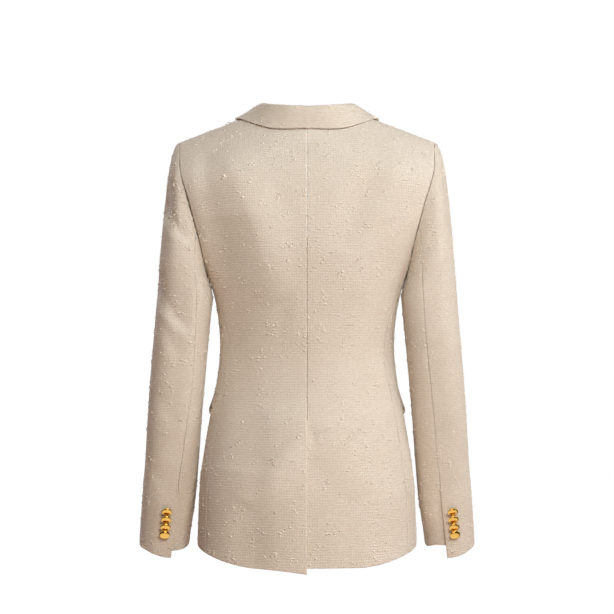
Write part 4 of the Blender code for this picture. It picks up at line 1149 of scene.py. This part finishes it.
def spot(chance, cloth, cell=None, shift=(0.0, 0.0)):
    """A random place on a panel, with the weft, the warp and the outward direction there."""
    rows, columns = cloth["cells"].shape
    if cell is None:
        share = cloth["cells"].ravel() / cloth["cells"].sum()
        cell = divmod(chance.choice(rows * columns, p=share), columns)
    row, column = cell
    places = cloth["places"]
    corner = places[row, column]
    weft, warp = places[row, column + 1] - corner, places[row + 1, column] - corner
    outwards = cloth["outwards"][row, column]
    inside = corner + weft * chance.random() + warp * chance.random()
    weft = weft / np.linalg.norm(weft)
    warp = np.cross(outwards, weft)
    warp /= np.linalg.norm(warp)
    return inside + weft * shift[0] + warp * shift[1], weft, warp, outwards


SLUBS_PER_AREA = 2600  # on a square metre
SLUB_LENGTHS = (0.0013, 0.0032)  # half lengths and half widths, from the least to the most
SLUB_WIDTHS = (0.0010, 0.0015)
SLUB_HEIGHT = 0.0013
SLUB_SUNK = 0.0001


def slubs(name, cloth, seed):
    """Slubs strewn over a panel, in ones, twos and threes."""
    chance = np.random.default_rng(seed)
    spots = []
    for _ in range(int(cloth["area"] * SLUBS_PER_AREA)):
        place, weft, warp, outwards = spot(chance, cloth)
        for _ in range(chance.choice((1, 1, 2, 3))):
            long, wide = chance.uniform(*SLUB_LENGTHS), chance.uniform(*SLUB_WIDTHS)
            frame_of = np.array((weft * long, warp * wide, outwards * SLUB_HEIGHT))
            spots.append((place - outwards * SLUB_SUNK, frame_of))
            place = place + weft * chance.normal(0, 0.003) + warp * chance.normal(0, 0.0035)
    return strewn(name + "_slubs", SLUB, spots, slub_wool)


PAILLETTE_RADII = (0.0006, 0.0009)
PAILLETTE_STEPS = (0.0032, 0.007)  # from one to the next in a row
PAILLETTE_UP = 0.0005  # they lie this far out of the cloth


def paillettes(name, cloth, seed, rows, above):
    """Short rows of paillettes, on the part of a panel that is above a height."""
    chance = np.random.default_rng(seed)
    spots = []
    while len(spots) < rows:
        place, weft, warp, outwards = spot(chance, cloth)
        if place[2] < above:
            continue
        for _ in range(chance.choice((1, 2, 3, 4))):
            tilt = outwards + weft * chance.normal(0, 0.25) + warp * chance.normal(0, 0.25)
            tilt /= np.linalg.norm(tilt)
            across = np.cross(warp, tilt)
            across /= np.linalg.norm(across)
            size = chance.uniform(*PAILLETTE_RADII)
            frame_of = np.array((across * size, np.cross(tilt, across) * size, tilt * size))
            spots.append((place + outwards * PAILLETTE_UP, frame_of))
            place = place + weft * chance.uniform(*PAILLETTE_STEPS) + warp * chance.normal(0, 0.0006)
    return strewn(name + "_paillettes", PAILLETTE, spots, paillette)

# %% [markdown]
# ## The cloth is laid on
#
# Each panel is made, given its slubs, and put in place of its solid. Seamed edges are rolled in
# deeper than folded ones.

# %% Laying a panel


def dress(name, side, surface, rolls, crease=None, level=True, glints=0, glints_above=-1.0, seed=1):
    """Makes a panel with all that lies on it, in place of the node of the same name."""
    piece, cloth = panel("cloth_" + name, side, surface, rolls, crease, level)
    piece.data.materials.append(ivory)
    on_it = [slubs(name, cloth, seed)]
    if glints:
        on_it.append(paillettes(name, cloth, seed + 100, glints, glints_above))
    for made in [piece, *on_it]:
        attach(made, "root")
    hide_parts(name)
    return piece


def back_creases(place, u):
    """Calmed at the side seam, where u is 1."""
    return crease_depth("back", place[..., 0], place[..., 2]) * ease((1 - u) * SEAM_CALM)


def front_creases(place, u):
    return crease_depth("front", place[..., 0], place[..., 2]) * ease(u * SEAM_CALM)


def sleeve_creases(place, _):
    """Behind and in front, faded out where the sleeve turns from one to the other."""
    x, y, z = np.moveaxis(place, -1, 0)
    behind = np.where(
        x > 0,
        crease_depth("left_sleeve_behind", np.abs(x), z),
        crease_depth("right_sleeve_behind", np.abs(x), z),
    )
    away = y - smooth(SLEEVE, "middle_y", np.minimum(z, SLEEVE_TOP_Z))
    return behind * ease(away / 0.02) + crease_depth("sleeve_in_front", np.abs(x), z) * ease(-away / 0.02)

# %% The body
SEAMED, FOLDED, SET_IN = SEAM_ROLL, FOLD_ROLL, ARMHOLE_ROLL
for side in (LEFT, RIGHT):
    which = SIDE_NAME[side]
    seed = 10 if side == LEFT else 20
    dress(
        f"back_{which}",
        side,
        back_surface(side),
        (SEAMED, SEAMED, FOLDED, SEAMED),
        back_creases,
        glints=90 if side == RIGHT else 45,
        glints_above=-0.16,
        seed=seed,
    )
    dress(f"side_{which}", side, side_surface(side), (SEAMED, SEAMED, FOLDED, SEAMED), seed=seed + 1)
    dress(
        f"front_{which}",
        side,
        front_surface(side),
        (SEAMED, FOLDED, FOLDED, SEAMED),
        front_creases,
        glints=60,
        glints_above=-0.16,
        seed=seed + 2,
    )
    dress(f"lapel_{which}", side, lapel_surface(side), (FOLDED,) * 4, level=False, glints=14, seed=seed + 3)
    dress(f"pocket_flap_{which}", side, flap_surface(side), (FOLDED, FOLDED, FOLDED, SEAMED), seed=seed + 4)

# %% The sleeves and the collar
for side in (LEFT, RIGHT):
    which = SIDE_NAME[side]
    seed = 30 if side == LEFT else 40
    for piece_name, is_top in (("sleeve_top", True), ("sleeve_under", False)):
        dress(
            f"{piece_name}_{which}",
            side,
            sleeve_surface(side, is_top),
            (SEAMED, SEAMED, FOLDED, SET_IN),
            sleeve_creases,
            glints=16 if is_top else 0,
            glints_above=-0.2,
            seed=seed + is_top,
        )
dress(
    "collar",
    LEFT,
    thick(collar_face),
    (FOLDED, FOLDED, FOLDED, SEAMED),
    level=False,
    glints=60,
    seed=50,
)

# %% [markdown]
# ## Gilt buttons
#
# The buttons are brass, turned, plated with gold and polished, so they mirror the studio. One is shaped
# from a cylinder: its rim is bevelled, its top is inset and raised ring by ring into a dome, and its
# back is drawn out into a stem. The others are copies of its mesh.

# %% Polished gilt
gilt, _, _ = material("polished_gilt_brass", Base_Color=colour("#F0C066"), Metallic=1.0, Roughness=0.09)

# %% One button
DOME_RINGS = ((0.16, 0.085), (0.22, 0.07), (0.24, 0.035), (0.2, 0.012))  # inset and rise, in radii
STEM_SHARE = 0.26


def pick_faces(piece, wanted):
    """Selects the faces that wanted says yes to, in edit mode, and nothing else."""
    bpy.ops.object.mode_set(mode="OBJECT")
    for part in (piece.data.vertices, piece.data.edges, piece.data.polygons):
        part.foreach_set("select", np.zeros(len(part), dtype=bool))
    for face in piece.data.polygons:
        face.select = bool(wanted(face))
    bpy.ops.object.mode_set(mode="EDIT")
    bpy.ops.mesh.select_mode(type="FACE")


def turned_button(name, radius):
    """A domed button with its stem, its face up."""
    deselect()
    rim = 0.18 * radius
    bpy.ops.mesh.primitive_cylinder_add(vertices=48, radius=radius, depth=rim)
    piece = bpy.context.object
    piece.name = name
    pick_faces(piece, lambda face: face.normal.z > 0.9)
    for inset, rise in DOME_RINGS:
        bpy.ops.mesh.inset(thickness=inset * radius)
        bpy.ops.transform.translate(value=(0, 0, rise * radius))
    pick_faces(piece, lambda face: face.normal.z < -0.9 and abs(face.center.z + rim / 2) < 1e-5)
    bpy.ops.mesh.inset(thickness=(0.98 - STEM_SHARE) * radius)
    bpy.ops.mesh.extrude_region_move(TRANSFORM_OT_translate={"value": (0, 0, -0.44 * radius)})
    bpy.ops.object.mode_set(mode="OBJECT")
    edges = {"limit_method": "ANGLE", "angle_limit": math.radians(50)}
    apply_modifier(piece, "BEVEL", width=0.05 * radius, segments=3, **edges)
    bpy.ops.object.shade_smooth()
    return piece


def place_button(kind, side, number, pattern, place, facing):
    """A copy of the pattern on one side of the coat; place and facing are those of the left side."""
    which = f"{SIDE_NAME[side]}_{number}"
    made = bpy.data.objects.new(f"gilt_{kind}_{which}", pattern.data.copy())
    bpy.context.collection.objects.link(made)
    turned = np.array((side, 1, 1))
    turn = Vector(facing * turned).to_track_quat("Z", "Y").to_matrix().to_4x4()
    made.data.transform(Matrix.Translation(Vector(place * turned)) @ turn)
    made.data.materials.append(gilt)
    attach(made, "root")
    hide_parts(f"{kind}_button_{which}")

# %% The cuffs' buttons
small_button = turned_button("small_button", CUFF_BUTTON_RADIUS)
for side in (LEFT, RIGHT):
    turn = math.radians(CUFF_BUTTON_TURN[side])
    level = np.array((math.cos(turn), math.sin(turn), 0))
    stem = STEM_LENGTH * CUFF_BUTTON_RADIUS + CUFF_STEM_GAP
    for number, tip in enumerate(np.radians(CUFF_BUTTON_TIPS)):
        z = CUFF_BUTTON_FIRST_Z - number * CUFF_BUTTON_STEP
        on_cloth = sleeve(np.array(CUFF_BUTTON_TURN[side]), np.array(z))
        facing = level * math.cos(tip) + np.array((0, 0, -math.sin(tip)))
        place = on_cloth + level * CUFF_BUTTON_STAND + facing * stem
        place_button("cuff", side, number + 1, small_button, place, facing)
bpy.data.objects.remove(small_button)

# %% The front's buttons
large_button = turned_button("large_button", FRONT_BUTTON_RADIUS)
stem = STEM_LENGTH * FRONT_BUTTON_RADIUS + FRONT_STEM_GAP
for row, (x, z) in enumerate(np.array(FRONT_BUTTON_PLACES)):
    angle = angle_at(x, z, True)
    out = body_out(angle, z)
    for side in (LEFT, RIGHT):
        place = lifted(angle, z, lap_lift(RIGHT, -side * x, z)) + out * stem
        place_button("front", side, row + 1, large_button, place, out)
bpy.data.objects.remove(large_button)

# %% [markdown]
# ## Studio
#
# The coat floats in a white studio, lit by a large soft lamp above and to the right of the camera, so
# that the troughs on its left half fall into shade. The floor and the backdrop are white and shine of
# themselves, and they light nothing.

# %% Floor, backdrop and flags
def plane(name, size, place, turn=(0, 0, 0)):
    deselect()
    bpy.ops.mesh.primitive_plane_add(size=size, location=place, rotation=turn)
    made = bpy.context.object
    made.name = name
    return made


white, _, white_shader = material("studio_white", Base_Color=colour("#000000"), Roughness=1.0)
white_shader.inputs["Specular IOR Level"].default_value = 0.0
white_shader.inputs["Emission Color"].default_value = (1, 1, 1, 1)
white_shader.inputs["Emission Strength"].default_value = 1.0
floor = plane("floor", 60, (0, 0, -0.72))
backdrop = plane("backdrop", 60, (0, -12, 0), (math.radians(90), 0, 0))
for made in (floor, backdrop):
    made.data.materials.append(white)
    made.visible_diffuse = made.visible_glossy = made.visible_shadow = False

# %% Lamps
CAMERA_AWAY = 4.0
CAMERA_Z = -0.261
FRAME_WIDTH = 0.921  # what the picture takes in at the coat
SENSOR = 36.0


def lamp(name, place, aim, size, power, tint="#FFFFFF"):
    light = bpy.data.lights.new(name, "AREA")
    light.shape = "SQUARE"
    light.size = size
    light.energy = power
    light.color = colour(tint)[:3]
    made = bpy.data.objects.new(name, light)
    bpy.context.collection.objects.link(made)
    made.location = place
    made.rotation_euler = (Vector(aim) - Vector(place)).to_track_quat("-Z", "Y").to_euler()
    return made


MIDDLE = (0, 0, -0.28)
lamp("key", (-0.75, 2.80, 1.07), MIDDLE, 1.2, 54, "#F6FFFB")
lamp("right", (-2.31, 1.62, 1.22), MIDDLE, 1.2, 22, "#F6F3FF")
lamp("far_right", (-2.96, 0.52, 0.81), MIDDLE, 1.2, 17, "#FFFFF4")
lamp("low", (-0.24, 2.76, -1.88), MIDDLE, 1.4, 14, "#FFC89C")
lamp("front_key", (1.9, -2.6, 1.3), MIDDLE, 1.8, 60, "#F6FAFF")
lamp("front_fill", (-2.4, -2.0, 0.2), MIDDLE, 2.0, 16, "#FFF0E0")

world = bpy.data.worlds.new("studio")
world.use_nodes = True
bpy.context.scene.world = world
sky = world.node_tree.nodes["Background"]
sky.inputs["Color"].default_value = colour("#FFDACA")
sky.inputs["Strength"].default_value = 0.21

# %% What the gilt mirrors: white cards above and below, and dark between them
CARDS = (
    (0.0, "#FFFFFF"),
    (0.11, "#F6F1E8"),
    (0.17, "#3A332A"),
    (0.47, "#15120F"),
    (0.56, "#FFFFFF"),
    (0.76, "#FFFFFF"),
    (0.84, "#6A6154"),
)
direction = node(world.node_tree, "TexCoord").outputs["Generated"]
upwards = node(world.node_tree, "SeparateXYZ", {"Vector": direction}).outputs["Z"]
upwards = node(world.node_tree, "MapRange", {0: upwards, 1: -1.0, 2: 1.0}).outputs[0]
cards = node(world.node_tree, "ValToRGB", {"Fac": upwards})
while len(cards.color_ramp.elements) < len(CARDS):
    cards.color_ramp.elements.new(1.0)
for element, (where, tint) in zip(cards.color_ramp.elements, CARDS):
    element.position, element.color = where, colour(tint)
mirrored = {"Color": cards.outputs["Color"], "Strength": 1.0}
mirrored = node(world.node_tree, "Background", mirrored).outputs[0]
ray = node(world.node_tree, "LightPath").outputs
around = {0: ray["Is Glossy Ray"], 1: sky.outputs[0], 2: mirrored}
around = node(world.node_tree, "MixShader", around).outputs[0]
seen = node(world.node_tree, "Background", {"Color": colour("#FFFFFF"), "Strength": 1.0}).outputs[0]
around = node(world.node_tree, "MixShader", {0: ray["Is Camera Ray"], 1: around, 2: seen}).outputs[0]
world.node_tree.links.new(around, world.node_tree.nodes["World Output"].inputs["Surface"])

# %% Camera
camera = bpy.data.objects.new("camera", bpy.data.cameras.new("camera"))
bpy.context.collection.objects.link(camera)
camera.location = (0, CAMERA_AWAY, CAMERA_Z)
camera.rotation_euler = (math.radians(90), 0, math.radians(180))
camera.data.sensor_width = SENSOR
camera.data.lens = SENSOR * CAMERA_AWAY / FRAME_WIDTH
camera.data.clip_end = 100
bpy.context.scene.camera = camera
bpy.context.scene.view_settings.view_transform = "Standard"
print("camera lens", round(camera.data.lens, 1), "mm")
